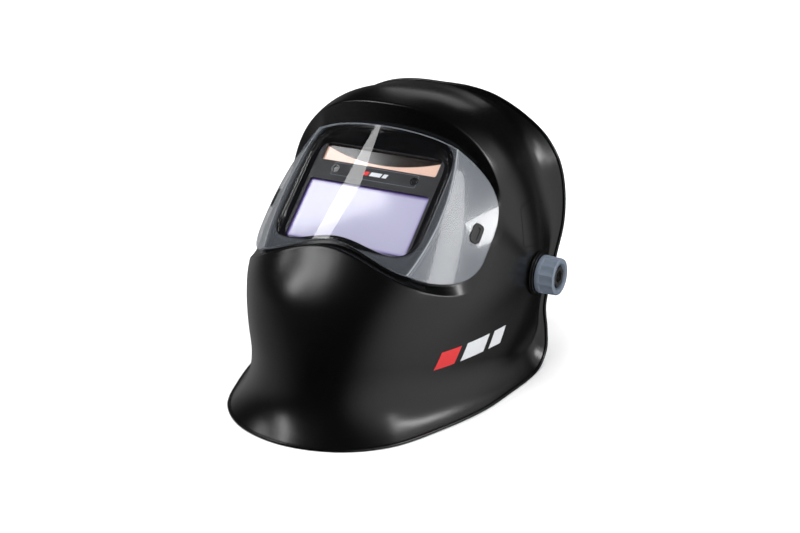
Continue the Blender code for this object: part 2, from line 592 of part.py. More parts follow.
def build_nape(mats, head):
    middle = BAND_RISE + BAND_SLOPE * STRAP_BACK
    width, height = HOUSING_SIZE
    for side, name, back in ((1, "left", STRAP_BACK + 2.2), (-1, "right", STRAP_BACK)):
        path = strap_path(side, back, 112)
        path = path[::-1] if side < 0 else path
        strap = add("nape_strap_" + name, sloped(ribbon(path, STRAP_WALL, -9, 9)), mats["band"], head)
        boolean(strap, [block((36, 12, 8.4), (0, back, middle))])
    centre = (0, STRAP_BACK, middle)
    inner = add("ratchet_cover_front", block((width, 3, height), (0, -5.3, 0), 0.8), mats["black"], head, centre)
    boolean(inner, [moved(disc(2.9, -10, 10, 16), (0, -4, 0), (90, 0, 0))])
    outer = add("ratchet_cover_rear", block((width, 15.6, height), (0, 4.4, 0), 1.5), mats["black"], head, centre)
    boolean(outer, [block((80, 10, 23.6), (0, 0.2, 0)), moved(disc(3.4, -10, 10, 20), (0, 8, 0), (90, 0, 0))])
    add("nape_pad", block((width, 6, 26), (0, -10.1, 0), 2.0), mats["foam"], head, centre)
    grip = (0, STRAP_BACK + 12.6, middle)
    knob = add("ratchet_knob", disc(16, 0, 10.5, 36, 1.2), mats["knob"], head, grip, (-90, 0, 0))
    boolean(knob, [disc(2.5, -18, 1, 16), fluted(-15.6, -8, 3.9, 1.2, 8)], "UNION")


def main():
    clear_scene()
    face = frame("face_frame", FACE_TILT)
    head = frame("head_frame", HEAD_TILT)
    mats = {
        "black": material("black_shell", (0.018, 0.018, 0.02), 0.35),
        "gloss": material("gloss_black", (0.01, 0.01, 0.012), 0.12),
        "case": material("cartridge_case", (0.05, 0.05, 0.055), 0.45),
        "dark": material("dark_plastic", (0.008, 0.008, 0.01), 0.5),
        "clear": material("clear_polycarbonate", (0.8, 0.84, 0.86), 0.05, alpha=0.25),
        "filter": material("filter_glass", (0.72, 0.7, 0.86), 0.05),
        "lcd": material("lcd_glass", (0.18, 0.24, 0.16), 0.1),
        "solar": material("solar_strip", (0.86, 0.58, 0.44), 0.2),
        "board": material("circuit_green", (0.02, 0.16, 0.06), 0.5),
        "metal": material("zinc_steel", (0.6, 0.6, 0.62), 0.3, 1.0),
        "rubber": material("seal_rubber", (0.012, 0.012, 0.012), 0.8),
        "knob": material("grey_knob", (0.2, 0.24, 0.28), 0.4),
        "grip": material("control_grey", (0.12, 0.13, 0.14), 0.5),
        "band": material("band_black", (0.03, 0.03, 0.033), 0.5),
        "foam": material("foam_pad", (0.02, 0.02, 0.022), 0.95),
    }
    build_shell(mats["black"])
    build_lens(mats["clear"], mats["black"], face)
    build_gasket(mats["rubber"], face)
    build_cartridge(mats, face)
    build_inner_frame(mats["black"], mats["clear"], face)
    build_headband(mats, head)
    build_nape(mats, head)
    for side, name in ((1, "left"), (-1, "right")):
        build_pivot(side, name, mats, head)
        build_arm(side, name, mats, head)


main()
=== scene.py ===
"""Looks for the auto-darkening welding helmet: fine surfaces, materials, pads, light and camera.

Lengths are in millimetres until WORLD, FACE or HEAD places a mesh in the world, in metres.
"""

from math import cos, pi, radians, sin

import bmesh
import bpy
import numpy as np
from mathutils import Matrix, Vector


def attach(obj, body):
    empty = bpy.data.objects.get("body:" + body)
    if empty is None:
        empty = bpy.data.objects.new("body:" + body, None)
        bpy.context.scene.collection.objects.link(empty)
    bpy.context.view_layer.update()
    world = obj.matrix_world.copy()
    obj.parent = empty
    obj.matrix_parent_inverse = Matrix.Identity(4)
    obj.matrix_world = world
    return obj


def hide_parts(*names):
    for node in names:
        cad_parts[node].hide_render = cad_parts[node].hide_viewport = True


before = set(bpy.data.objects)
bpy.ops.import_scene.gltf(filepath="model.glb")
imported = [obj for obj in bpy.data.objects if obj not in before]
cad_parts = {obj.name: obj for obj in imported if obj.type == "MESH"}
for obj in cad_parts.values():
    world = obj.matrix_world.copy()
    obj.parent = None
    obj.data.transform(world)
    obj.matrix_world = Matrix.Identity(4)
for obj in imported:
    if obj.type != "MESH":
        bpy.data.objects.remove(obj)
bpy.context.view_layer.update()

MM = 0.001
PIVOT = Vector((0, 31.5, 81.0))
FACE_TILT, HEAD_TILT = 42.5, -18.0
GAP = 0.3
MERGE = 1e-4

# ---- the shell's surface about the tilt axis. PROFILE gives its radius and BOXINESS how square its
# section is, both by the angle up from straight ahead. EDGE gives the rim's line by loop angle: x, y, z
# and the lip's lean. FLANGE gives the width of the flared lip by the same angle.
SHELL_WALL = 2.6
SHELL_HALF_WIDTH = 101.6
PROFILE = ((-90, 140), (-45, 170), (-17, 184), (2, 165), (20, 143.5), (43, 150.5), (68, 139.6),
           (78, 137.5), (90, 132.6), (103, 130), (120, 112), (150, 95))
BOXINESS = ((-60, 2.15), (-15, 2.08), (10, 2.6), (32, 2.5), (50, 2.1), (70, 2.5), (95, 2.45),
            (130, 2.8))
EDGE = ((-12, -24, 67.5, 207.5, 0), (0, 0, 67.5, 208, 0), (12, 24, 67.5, 207.5, 0),
        (24, 47, 67.5, 203, 0), (36, 71, 67.5, 191.5, 0), (47, 90, 67.5, 176.5, 0),
        (57, 101.5, 67.5, 158, 0), (66, 106, 67.5, 137, 0),
        (75, 106.5, 66.5, 112, 0), (84, 103, 62.5, 86, -5), (92, 101, 55, 62, -8),
        (99, 100.5, 51, 46, -5), (106, 101, 54, 28, -20), (112, 102, 52.5, 12, -45),
        (118, 103, 40, 2, -75), (125, 104, 20, 0, -90),
        (134, 102.8, -9, 0, -90), (143, 98.8, -51.3, 0, -90), (152, 86.0, -96.0, 0, -90),
        (162, 67.5, -136.5, 0, -90), (171, 38.5, -160.2, 0, -90), (180, 0, -169, 0, -90),
        (189, -38.5, -160.2, 0, -90))
FLANGE = ((0, 20), (90, 20), (104, 13), (118, 11), (128, 15), (142, 28), (158, 41), (180, 42),
          (202, 41))
LIP_ANGLE_BOTTOM, LIP_ANGLE_REAR = 48.0, 38.0
LIP_RADIUS = 1.3
CREST_RADIUS = 1.6

# ---- outlines seen along the filter's axis: middle, half width, height above and below the middle,
# dip of the lower edge away from the centre, where the dip ends, and the powers of both halves
BAY = (-29.0, 94.7, 79.5, 40.3, 17.0, 80.0, 3.3, 3.3)
LENS = (-29.0, 93.7, 65.5, 31.9, 20.0, 75.0, 3.6, 2.6)
FOOT = (-29.0, 91.6, 67.0, 33.4, 19.5, 75.0, 3.6, 2.6)
OPENING = (-16.4, 58.5, 50.4, 41.6, 6.5, 45.0, 6.0, 6.0)
SEAT = (-16.4, 52.4, 41.3, 41.2, 0.0, 45.0, 12.0, 12.0)

# ---- lens, cartridge and controls, with heights up the filter and depths along its axis. CREASE is
# the half width of the lens' cylinder at the height CREASE_MID, and the crease bows in away from it.
# CLEAR_HALF is the half size of the lens' unsmoked middle. A dial has its x, radius, depth of its
# face, flutes and marks.
LENS_FRONT, LENS_RADIUS = 121.5, 146.5
CREASE, CREASE_MID, CREASE_BOW = 65.4, -22.0, 0.0024
LENS_WING_SLOPE, LENS_WING_BEND = 1.02, 0.0035
LENS_WALL, LENS_TO_FLOOR = 2.0, 4.6
CLIP_X, CLIP_UP = 85.3, -18.6
WING_SMOKE, BORDER_SMOKE = 0.55, 0.17
CLEAR_HALF, CLEAR_MID, CLEAR_POWER = (60.0, 50.5), -13.5, 6.0
CASE_FRONT, CASE_BACK = 105.5, 96.6
WINDOW_HALF, WINDOW_MID = (50.0, 25.0), -31.6
# Next line: the height and bow of the curved border above which the solar cell is painted dark, a
# painted reflection of the brow.
BROW_REFLECTION_EDGE, BROW_REFLECTION_BOW = 13.05, -4.0
CONTROL_UP = 12.0
DIALS = (("shade", 0.0, 9.5, 89.5, 18, 9), ("sensitivity", -42.0, 6.0, 91.0, 14, 5),
         ("delay", -24.0, 6.0, 91.0, 14, 5))
DIAL_SWEEP = 270.0

# ---- pivot hardware as distances out along the tilt axis, and the headgear about it. The headband
# runs at BAND_RISE with BAND_SLOPE towards the nape.
BOLT_RADIUS, PEG_RADIUS, PEG_ORBIT = 5.0, 2.2, 15.0
WASHER, KNOB, ARM, REACH = (101.9, 104.4), (104.7, 120.0), (88.3, 92.3), 12.0
SOCKET = (117.1, 119.0)
BAND_HALF_WIDTH, BAND_FRONT, BAND_SIDE_END = 76.0, 45.0, 75.0
BAND_HALF_HEIGHT, BAND_WALL, BAND_RISE, BAND_SLOPE = 13.0, 2.2, 10.0, -0.2
STRAP_HALF_WIDTH, STRAP_BACK, STRAP_WALL, STRAP_POWER, STRAP_START = 73.2, 121.25, 1.6, 2.6, 44.0
STRIP_HALF_HEIGHT = 9.0
PAD_VOXEL, PAD_CAP, PAD_FRAMES = 0.0024, 3.0, 20

WORLD = Matrix.Scale(MM, 4)
FACE = WORLD @ Matrix.Translation(PIVOT) @ Matrix.Rotation(radians(FACE_TILT), 4, "X")
HEAD = WORLD @ Matrix.Translation(PIVOT) @ Matrix.Rotation(radians(HEAD_TILT), 4, "X")
SIDES = ((1, "left"), (-1, "right"))


def outward(side, base=HEAD):
    """A frame whose Z runs out along the tilt axis on one side."""
    return base @ Matrix.Rotation(radians(90 * side), 4, "Y")


# ---- materials

def linear(r, g, b):
    """A colour given as 0-255 display values."""
    return tuple(((v / 255 + 0.055) / 1.055) ** 2.4 if v > 10 else v / 255 / 12.92 for v in (r, g, b))


def feed(tree, socket, value):
    """Links an input to another node's output, or sets its value."""
    if isinstance(value, bpy.types.NodeSocket):
        tree.links.new(value, socket)
    else:
        socket.default_value = value


def node(tree, kind, **inputs):
    """A node; each keyword names one of its properties or, with spaces as underscores, an input."""
    made = tree.nodes.new(kind)
    for key, value in inputs.items():
        if key in made.bl_rna.properties:
            setattr(made, key, value)
        else:
            feed(tree, made.inputs[key.replace("_", " ")], value)
    return made


def calc(tree, operation, *values):
    made = node(tree, "ShaderNodeMath", operation=operation)
    for socket, value in zip(made.inputs, values):
        feed(tree, socket, value)
    return made.outputs[0]


def ramp(tree, value, start, end, low=0.0, high=1.0, kind="LINEAR"):
    """A value taken from start..end to low..high and held there beyond."""
    made = node(tree, "ShaderNodeMapRange", interpolation_type=kind, From_Min=start, From_Max=end,
                To_Min=low, To_Max=high, Value=value)
    return made.outputs[0]


def blend(tree, share, first, second):
    """A mix of two colours, each an output or three numbers."""
    made = node(tree, "ShaderNodeMix", data_type="RGBA")
    for socket, value in ((0, share), (6, first), (7, second)):
        feed(tree, made.inputs[socket], (*value, 1) if isinstance(value, tuple) else value)
    return made.outputs[2]


def mixed(tree, share, first, second):
    made = node(tree, "ShaderNodeMixShader")
    for socket, value in enumerate((share, first, second)):
        feed(tree, made.inputs[socket], value)
    return made.outputs[0]


def new_material(name):
    mat = bpy.data.materials.new(name)
    mat.use_nodes = True
    tree = mat.node_tree
    return mat, tree, node(tree, "ShaderNodeTexCoord").outputs["Object"]


def surface(name, colour, rough, spread, rough_spread, grain, bump, depth=0.0001, metallic=0.0,
            mottle=40.0, stretch=(1, 1, 1), sheen=0.0, coat=0.0, extra=None):
    """A procedural surface: mottled colour, uneven roughness and a fine moulded or brushed grain."""
    mat, tree, point = new_material(name)
    scaled = node(tree, "ShaderNodeMapping", Scale=stretch, Vector=point).outputs[0]
    broad = node(tree, "ShaderNodeTexNoise", Scale=mottle, Detail=4.0, Vector=scaled).outputs[0]
    fine = node(tree, "ShaderNodeTexNoise", Scale=grain, Detail=3.0, Vector=scaled).outputs[0]
    darker, lighter = (tuple(min(1.0, c * k) for c in colour) for k in (1 - spread, 1 + spread))
    tint = blend(tree, broad, darker, lighter)
    shader = tree.nodes["Principled BSDF"]
    bumped = node(tree, "ShaderNodeBump", Strength=bump, Distance=depth, Height=fine).outputs[0]
    shine = ramp(tree, broad, 0.0, 1.0, max(0.0, rough - rough_spread), min(1.0, rough + rough_spread))
    for key, value in (("Normal", bumped), ("Roughness", shine), ("Metallic", metallic),
                       ("Base Color", extra(tree, point, tint) if extra else tint),
                       ("Sheen Weight", sheen), ("Coat Weight", coat), ("Coat Roughness", 0.06)):
        feed(tree, shader.inputs[key], value)
    return mat


def weave(tree, point, colour):
    """A knitted cover: fine crossing ribs darken the colour between them."""
    waves = [node(tree, "ShaderNodeTexWave", bands_direction=direction, Scale=420.0, Distortion=0.6,
                  Vector=point).outputs["Fac"] for direction in ("X", "Z")]
    return blend(tree, calc(tree, "MULTIPLY", *waves), (0.012, 0.012, 0.014), colour)


def see_through(name, tint, wing=None):
    """Clear sheet with a Fresnel gloss on its outer faces; a wing colour adds the smoked wings."""
    mat, tree, point = new_material(name)
    tree.nodes.remove(tree.nodes["Principled BSDF"])
    smear = node(tree, "ShaderNodeTexNoise", Scale=28.0, Detail=5.0, Vector=point).outputs[0]
    clear = node(tree, "ShaderNodeBsdfTransparent", Color=(*tint, 1)).outputs[0]
    gloss = node(tree, "ShaderNodeBsdfGlossy", Color=(1, 1, 1, 1),
                 Roughness=ramp(tree, smear, 0.0, 1.0, 0.015, 0.06)).outputs[0]
    outside = calc(tree, "SUBTRACT", 1.0, node(tree, "ShaderNodeNewGeometry").outputs["Backfacing"])
    mirrored = calc(tree, "MULTIPLY", node(tree, "ShaderNodeFresnel", IOR=1.5).outputs[0], outside)
    sheet = mixed(tree, mirrored, clear, gloss)
    if wing:
        sheet = smoked(tree, point, sheet, wing)
    feed(tree, tree.nodes["Material Output"].inputs["Surface"], sheet)
    return mat


def smoked(tree, point, sheet, wing):
    """The lens' smoked wings and border over its clear sheet, with a painted highlight along the
    crease: a paler line.
    """
    x, up = face_place(tree, point)
    off = calc(tree, "SUBTRACT", up, CREASE_MID * MM)
    beyond = calc(tree, "MULTIPLY_ADD", calc(tree, "MULTIPLY", off, off), CREASE_BOW / MM,
                  calc(tree, "ABSOLUTE", x))
    wings, rise, fall = (ramp(tree, beyond, (CREASE + start) * MM, (CREASE + end) * MM, high=high)
                         for start, end, high in ((-0.5, 0.5, WING_SMOKE - BORDER_SMOKE),
                                                  (-0.9, -0.3, 1.0), (0.8, 0.2, 1.0)))
    # rise times fall is a narrow band at the crease where the haze turns pale: a painted highlight
    # along the crease.
    colour = blend(tree, calc(tree, "MULTIPLY", rise, fall), wing, linear(196, 200, 206))
    haze = node(tree, "ShaderNodeBsdfPrincipled", Roughness=0.16, Base_Color=colour).outputs[0]
    powers = []
    for value, middle, half in ((x, 0.0, CLEAR_HALF[0]), (up, CLEAR_MID, CLEAR_HALF[1])):
        scaled = calc(tree, "MULTIPLY_ADD", value, 1 / (half * MM), -middle / half)
        powers.append(calc(tree, "POWER", calc(tree, "ABSOLUTE", scaled), CLEAR_POWER))
    border = ramp(tree, calc(tree, "ADD", *powers), 0.97, 1.03, high=BORDER_SMOKE)
    return mixed(tree, calc(tree, "ADD", wings, border), sheet, haze)


def face_place(tree, point):
    """A point's place across the filter and its height up it, in metres."""
    tilt = radians(FACE_TILT)
    apart = node(tree, "ShaderNodeSeparateXYZ", Vector=point)
    level = calc(tree, "MULTIPLY_ADD", apart.outputs["Y"], cos(tilt),
                 -PIVOT.y * MM * cos(tilt) - PIVOT.z * MM * sin(tilt))
    return apart.outputs["X"], calc(tree, "MULTIPLY_ADD", apart.outputs["Z"], sin(tilt), level)


def window_tint(tree, point, colour):
    """The mirror coating turns violet towards the window's edge."""
    x, up = face_place(tree, point)
    shares = []
    for value, middle, half in ((x, 0.0, WINDOW_HALF[0]), (up, WINDOW_MID, WINDOW_HALF[1])):
        off = calc(tree, "ABSOLUTE", calc(tree, "SUBTRACT", value, middle * MM))
        shares.append(ramp(tree, off, (half - 3.0) * MM, half * MM))
    return blend(tree, calc(tree, "MAXIMUM", *shares), colour, linear(96, 70, 150))


def solar_tint_with_painted_reflections(tree, point, colour):
    """Amber tint of the cell's coating, painted at the brightness of the bright surroundings it
    reflects, with a painted reflection of the dark brow: dark towards the top above a curved border.
    """
    x, up = face_place(tree, point)
    # Above the bowed border the cell is painted dark: a painted reflection of the dark brow.
    bowed = calc(tree, "MULTIPLY_ADD", calc(tree, "MULTIPLY", x, x), BROW_REFLECTION_BOW, up)
    share = ramp(tree, bowed, (BROW_REFLECTION_EDGE - 0.25) * MM, (BROW_REFLECTION_EDGE + 0.25) * MM)
    return blend(tree, share, colour, linear(34, 27, 25))


LOOKS = {
    "shell": surface("moulded_black", (0.0012, 0.0012, 0.0013), 0.25, 0.2, 0.04, 2600.0, 0.16,
                     0.00008, mottle=22.0),
    "gloss": surface("gloss_black", (0.004, 0.004, 0.0045), 0.12, 0.2, 0.04, 900.0, 0.03),
    "case": surface("cartridge_charcoal", linear(36, 36, 38), 0.42, 0.12, 0.06, 2200.0, 0.2),
    "matte": surface("matte_black", (0.012, 0.012, 0.013), 0.55, 0.2, 0.08, 1800.0, 0.25),
    "band": surface("headgear_black", (0.018, 0.018, 0.02), 0.42, 0.2, 0.08, 1500.0, 0.2, mottle=60.0),
    "rubber": surface("seal_rubber", (0.006, 0.006, 0.0065), 0.4, 0.2, 0.1, 1300.0, 0.15),
    "knob": surface("knob_blue_grey", linear(104, 113, 126), 0.26, 0.06, 0.06, 1500.0, 0.12),
    "grip": surface("dial_grey", linear(92, 96, 102), 0.45, 0.1, 0.08, 1500.0, 0.2),
    "steel": surface("zinc_plate", (0.56, 0.57, 0.6), 0.3, 0.1, 0.1, 700.0, 0.15, metallic=1.0,
                     stretch=(0.15, 1, 1)),
    "board": surface("solder_mask", (0.012, 0.13, 0.05), 0.35, 0.15, 0.08, 600.0, 0.2),
    "lcd": surface("shutter_glass", (0.05, 0.08, 0.05), 0.08, 0.1, 0.03, 500.0, 0.02, coat=0.5),
    "filter": surface("mirror_lilac", linear(170, 167, 190), 0.07, 0.02, 0.03, 300.0, 0.01, coat=0.6,
                      extra=window_tint),
    # The solar cell's amber is its coating's tint, painted at the brightness of the bright surroundings
    # it reflects; its dark top is a painted reflection of the brow.
    "solar": surface("solar_amber_painted_reflections", linear(222, 184, 166), 0.12, 0.05, 0.04, 400.0, 0.02, coat=0.4,
                     extra=solar_tint_with_painted_reflections),
    "foam": surface("knit_black", (0.05, 0.05, 0.055), 0.9, 0.25, 0.05, 2200.0, 0.7, 0.0004,
                    sheen=0.6, extra=weave),
    "mark_light": surface("mark_light_grey", linear(205, 207, 210), 0.4, 0.04, 0.05, 1500.0, 0.08),
    "mark_red": surface("mark_red", linear(206, 32, 36), 0.38, 0.06, 0.05, 1500.0, 0.08),
    "lens": see_through("clear_sheet", (0.97, 0.975, 0.98), linear(108, 113, 120)),
    "plate": see_through("clear_plate", (0.95, 0.96, 0.965)),
    "lens_edge": surface("lens_cut_edge", linear(150, 156, 163), 0.22, 0.08, 0.06, 900.0, 0.1),
}


# ---- meshes

def mesh_of(bm, place=WORLD):
    mesh = bpy.data.meshes.new("piece")
    bmesh.ops.remove_doubles(bm, verts=bm.verts, dist=MERGE)
    bmesh.ops.recalc_face_normals(bm, faces=bm.faces)
    bmesh.ops.transform(bm, matrix=place, verts=bm.verts)
    bm.to_mesh(mesh)
    bm.free()
    return mesh


def dress(mesh, look, sharp):
    """Gives a mesh its one material and smooth shading up to an angle."""
    mesh.materials.clear()
    mesh.materials.append(LOOKS[look])
    mesh.shade_smooth()
    mesh.set_sharp_from_angle(angle=radians(sharp))


def placed(name, mesh):
    obj = bpy.data.objects.new(name, mesh)
    bpy.context.scene.collection.objects.link(obj)
    return obj


def piece(name, mesh, look, body, replaces=(), sharp=40.0):
    obj = placed(name, mesh)
    dress(mesh, look, sharp)
    if replaces:
        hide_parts(*replaces)
    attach(obj, body)
    return obj


def bevelled(obj, width, segments=2, angle=35.0):
    modifier = obj.modifiers.new("edge", "BEVEL")
    modifier.width, modifier.segments = width * MM, segments
    modifier.limit_method, modifier.angle_limit = "ANGLE", radians(angle)
    modifier.use_clamp_overlap = True
    return obj


def rings_bm(rings, closed_along=False):
    """Faces between rings of points; each ring closes on itself."""
    bm = bmesh.new()
    rows = [[bm.verts.new(p) for p in ring] for ring in rings]
    pairs = list(zip(rows, rows[1:])) + ([(rows[-1], rows[0])] if closed_along else [])
    for a, b in pairs:
        for i in range(len(a)):
            j = (i + 1) % len(a)
            bm.faces.new((a[i], a[j], b[j], b[i]))
    return bm


def capped_bm(rings):
    """Rings joined by faces, with a face over the first and the last."""
    bm = rings_bm(rings)
    bm.verts.ensure_lookup_table()
    size = len(rings[0])
    bm.faces.new(bm.verts[:size])
    bm.faces.new(bm.verts[-size:])
    return bm


def turned_bm(profile, steps=96):
    """A profile of (radius, z) turned about the Z axis."""
    bm = bmesh.new()
    points = [bm.verts.new((r, 0, z)) for r, z in profile]
    edges = [bm.edges.new(pair) for pair in zip(points, points[1:])]
    if profile[0][0] > 0:
        edges.append(bm.edges.new((points[-1], points[0])))
    bmesh.ops.spin(bm, geom=points + edges, cent=(0, 0, 0), axis=(0, 0, 1), angle=2 * pi,
                   steps=steps, use_merge=True)
    return bm


def circle(radius, count):
    return [(radius * cos(a), radius * sin(a)) for a in (2 * pi * i / count for i in range(count))]


def softened(profile, radius, closed=False, steps=4):
    """A polyline with its corners rounded."""
    points = [Vector(p) for p in profile]
    out = [] if closed else [points[0]]
    count = len(points)
    for k in range(count) if closed else range(1, count - 1):
        a, b, c = points[k - 1], points[k], points[(k + 1) % count]
        r = min(radius, (b - a).length * 0.45, (c - b).length * 0.45)
        start, end = b + (a - b).normalized() * r, b + (c - b).normalized() * r
        out += [start.lerp(b, s).lerp(b.lerp(end, s), s) for s in (i / steps for i in range(steps + 1))]
    return [tuple(p) for p in (out if closed else out + [points[-1]])]


def rounded(half_x, half_y, radius, mid=(0, 0), arc=8):
    """A rectangle's outline with rounded corners."""
    points = []
    for k in range(4):
        sx, sy = (1, 1, -1, -1)[k], (-1, 1, 1, -1)[k]
        for i in range(arc + 1):
            a = radians(-90 + 90 * k + 90 * i / arc)
            points.append((mid[0] + sx * (half_x - radius) + radius * cos(a),
                           mid[1] + sy * (half_y - radius) + radius * sin(a)))
    return points


def plate_bm(outline, low, high, holes=()):
    """An outline, less its holes, extruded from one height to another."""
    curve = bpy.data.curves.new("outline", "CURVE")
    curve.dimensions = "2D"
    curve.fill_mode = "BOTH"
    curve.extrude = (high - low) / 2
    for loop in (outline, *holes):
        spline = curve.splines.new("POLY")
        spline.points.add(len(loop) - 1)
        for point, (x, y) in zip(spline.points, loop):
            point.co = (x, y, 0, 1)
        spline.use_cyclic_u = True
    helper = bpy.data.objects.new("outline", curve)
    mesh = bpy.data.meshes.new_from_object(helper)
    bpy.data.objects.remove(helper)
    bm = bmesh.new()
    bm.from_mesh(mesh)
    bmesh.ops.translate(bm, vec=(0, 0, (low + high) / 2), verts=bm.verts)
    bmesh.ops.remove_doubles(bm, verts=bm.verts, dist=MERGE)
    return bm


def applied(obj):
    bpy.context.view_layer.update()
    graph = bpy.context.evaluated_depsgraph_get()
    done = bpy.data.meshes.new_from_object(obj.evaluated_get(graph))
    obj.modifiers.clear()
    obj.data = done
    return obj


def taken(obj):
    """An object's mesh, with the object itself removed."""
    mesh = obj.data
    bpy.data.objects.remove(obj)
    return mesh


def walled(mesh, thickness):
    """A temporary object: a surface given a wall on its inner side."""
    obj = placed("walled", mesh)
    wall = obj.modifiers.new("wall", "SOLIDIFY")
    wall.thickness, wall.offset = thickness * MM, -1
    return applied(obj)


def carve(obj, tools):
    for mesh in tools:
        tool = placed("tool", mesh)
        modifier = obj.modifiers.new("cut", "BOOLEAN")
        modifier.operation, modifier.solver, modifier.object = "DIFFERENCE", "EXACT", tool
        applied(obj)
        bpy.data.objects.remove(tool)
    return obj


def run_along(points):
    """The distance along a path at each of its points."""
    steps = np.linalg.norm(np.diff(points, axis=0), axis=1)
    return np.concatenate(([0], np.cumsum(steps)))


def sweep_bm(path, section, cyclic=False, up=(0, 0, 1)):
    """A section in (across, up) swept along a path of points, closed at both ends."""
    path = np.array(path, float)
    if cyclic:
        along = unit(np.roll(path, -1, 0) - np.roll(path, 1, 0))
    else:
        along = unit(np.gradient(path, axis=0))
    across = unit(np.cross(along, np.broadcast_to(np.array(up, float), path.shape)))
    ups = np.cross(across, along)
    rings = [[p + a * s + u * t for s, t in section] for p, a, u in zip(path, across, ups)]
    return rings_bm(rings, True) if cyclic else capped_bm(rings)


# ---- the shell

def smooth(x, table, column=1):
    """A table's column read at x along a smooth curve through its rows."""
    rows = np.array(table, float)
    keys, values = rows[:, 0], rows[:, column]
    slope = np.gradient(values, keys)
    x = np.clip(x, keys[0], keys[-1])
    i = np.clip(np.searchsorted(keys, x) - 1, 0, len(keys) - 2)
    h = keys[i + 1] - keys[i]
    t = (x - keys[i]) / h
    return ((2 * t**3 - 3 * t**2 + 1) * values[i] + (t**3 - 2 * t**2 + t) * h * slope[i]
            + (3 * t**2 - 2 * t**3) * values[i + 1] + (t**3 - t**2) * h * slope[i + 1])


def unit(vectors):
    return vectors / np.linalg.norm(vectors, axis=-1, keepdims=True)


def reach(directions):
    """The shell's radius in each direction from the tilt axis' middle."""
    around = np.hypot(directions[:, 1], directions[:, 2])
    angle = np.degrees(np.arctan2(directions[:, 2], -directions[:, 1]))
    power = smooth(angle, BOXINESS)
    return ((np.abs(directions[:, 0]) / SHELL_HALF_WIDTH) ** power
            + (around / smooth(angle, PROFILE)) ** power) ** (-1 / power)


UP_FILTER = np.array((0, cos(radians(FACE_TILT)), sin(radians(FACE_TILT))))
OUT_FILTER = np.array((0, -sin(radians(FACE_TILT)), cos(radians(FACE_TILT))))


def face_point(x, up, out):
    return np.outer(x, (1, 0, 0)) + np.outer(up, UP_FILTER) + np.outer(out, OUT_FILTER)


def lens_depth(x, up):
    """How far out the lens' front lies: a cylinder between the creases and bent wings beyond."""
    side = np.abs(x)
    crease = CREASE - CREASE_BOW * (up - CREASE_MID) ** 2
    wing = np.maximum(side - crease, 0)
    middle = LENS_FRONT - np.minimum(side, crease) ** 2 / (2 * LENS_RADIUS)
    return middle - LENS_WING_SLOPE * wing - LENS_WING_BEND * wing**2


def signed_power(value, power):
    return np.sign(value) * np.abs(value) ** power


def outline_heights(outline, x, inset=0.0):
    """An outline's upper and lower height at x."""
    mid, half_width, top, bottom, dip, dip_end, power_up, power_down = outline
    share = np.clip(np.abs(x) / dip_end, 0, 1)
    ratio = np.clip(np.abs(x) / (half_width - inset), 0, 1)
    upper = (top - inset) * (1 - ratio**power_up) ** (1 / power_up)
    drop = bottom - inset + dip * share**2 * (3 - 2 * share)
    lower = drop * (1 - ratio**power_down) ** (1 / power_down)
    return mid + upper, mid - lower


def outline_loop(outline, t, inset=0.0):
    """An outline's points (x, up) at loop angles t: 0 at the top, 90 on the wearer's left."""
    power = np.where(np.cos(t) > 0, outline[6], outline[7])
    x = (outline[1] - inset) * signed_power(np.sin(t), 2 / power)
    upper, lower = outline_heights(outline, x, inset)
    return x, np.where(np.cos(t) > 0, upper, lower)


def even_turns(outline, count, samples):
    """Loop angles that space points evenly along an outline."""
    fine = np.linspace(-pi, pi, samples)
    run = run_along(np.stack(outline_loop(outline, fine), 1))
    return np.interp(np.arange(count) * run[-1] / count, run, fine)


def to_surface(point_at, far, like):
    """Halves the way out to the shell's surface; point_at gives the points at each distance."""
    low, high = np.zeros_like(like), np.full_like(like, far)
    for _ in range(40):
        middle = (low + high) / 2
        points = point_at(middle)
        inside = np.linalg.norm(points, axis=1) < reach(unit(points))
        low, high = np.where(inside, middle, low), np.where(inside, high, middle)
    return low


def on_surface(x, up):
    return face_point(x, up, to_surface(lambda out: face_point(x, up, out), 220.0, x))


def edge_loop(t):
    """The rim at each loop angle: its points, the way its lip runs and the way out from it."""
    angle = np.degrees(np.abs(t))
    x, y, z, lean = (smooth(angle, EDGE, k) for k in (1, 2, 3, 4))
    points = np.stack((x * np.sign(t + 1e-9), y - PIVOT.y, z - PIVOT.z), 1)
    along = np.roll(points, -1, 0) - np.roll(points, 1, 0)
    lean = np.radians(lean)
    lip = np.stack((0 * lean, np.cos(lean), np.sin(lean)), 1)
    out = unit(np.cross(along, lip))
    return points, unit(np.cross(out, along)), out


def between(start, end, share):
    """Points of the shell's surface part of the way from one ring to another."""
    a, b = unit(start), unit(end)
    angle = np.arccos(np.clip((a * b).sum(1), -1, 1))[:, None]
    direction = unit(np.sin((1 - share) * angle) * a + np.sin(share * angle) * b)
    return direction * reach(direction)[:, None]


def bend_through(a, corner, b, steps):
    """Points of a short rounded corner between two rings."""
    shares = [i / steps for i in range(steps + 1)]
    return [(1 - s) ** 2 * a + 2 * s * (1 - s) * corner + s**2 * b for s in shares]


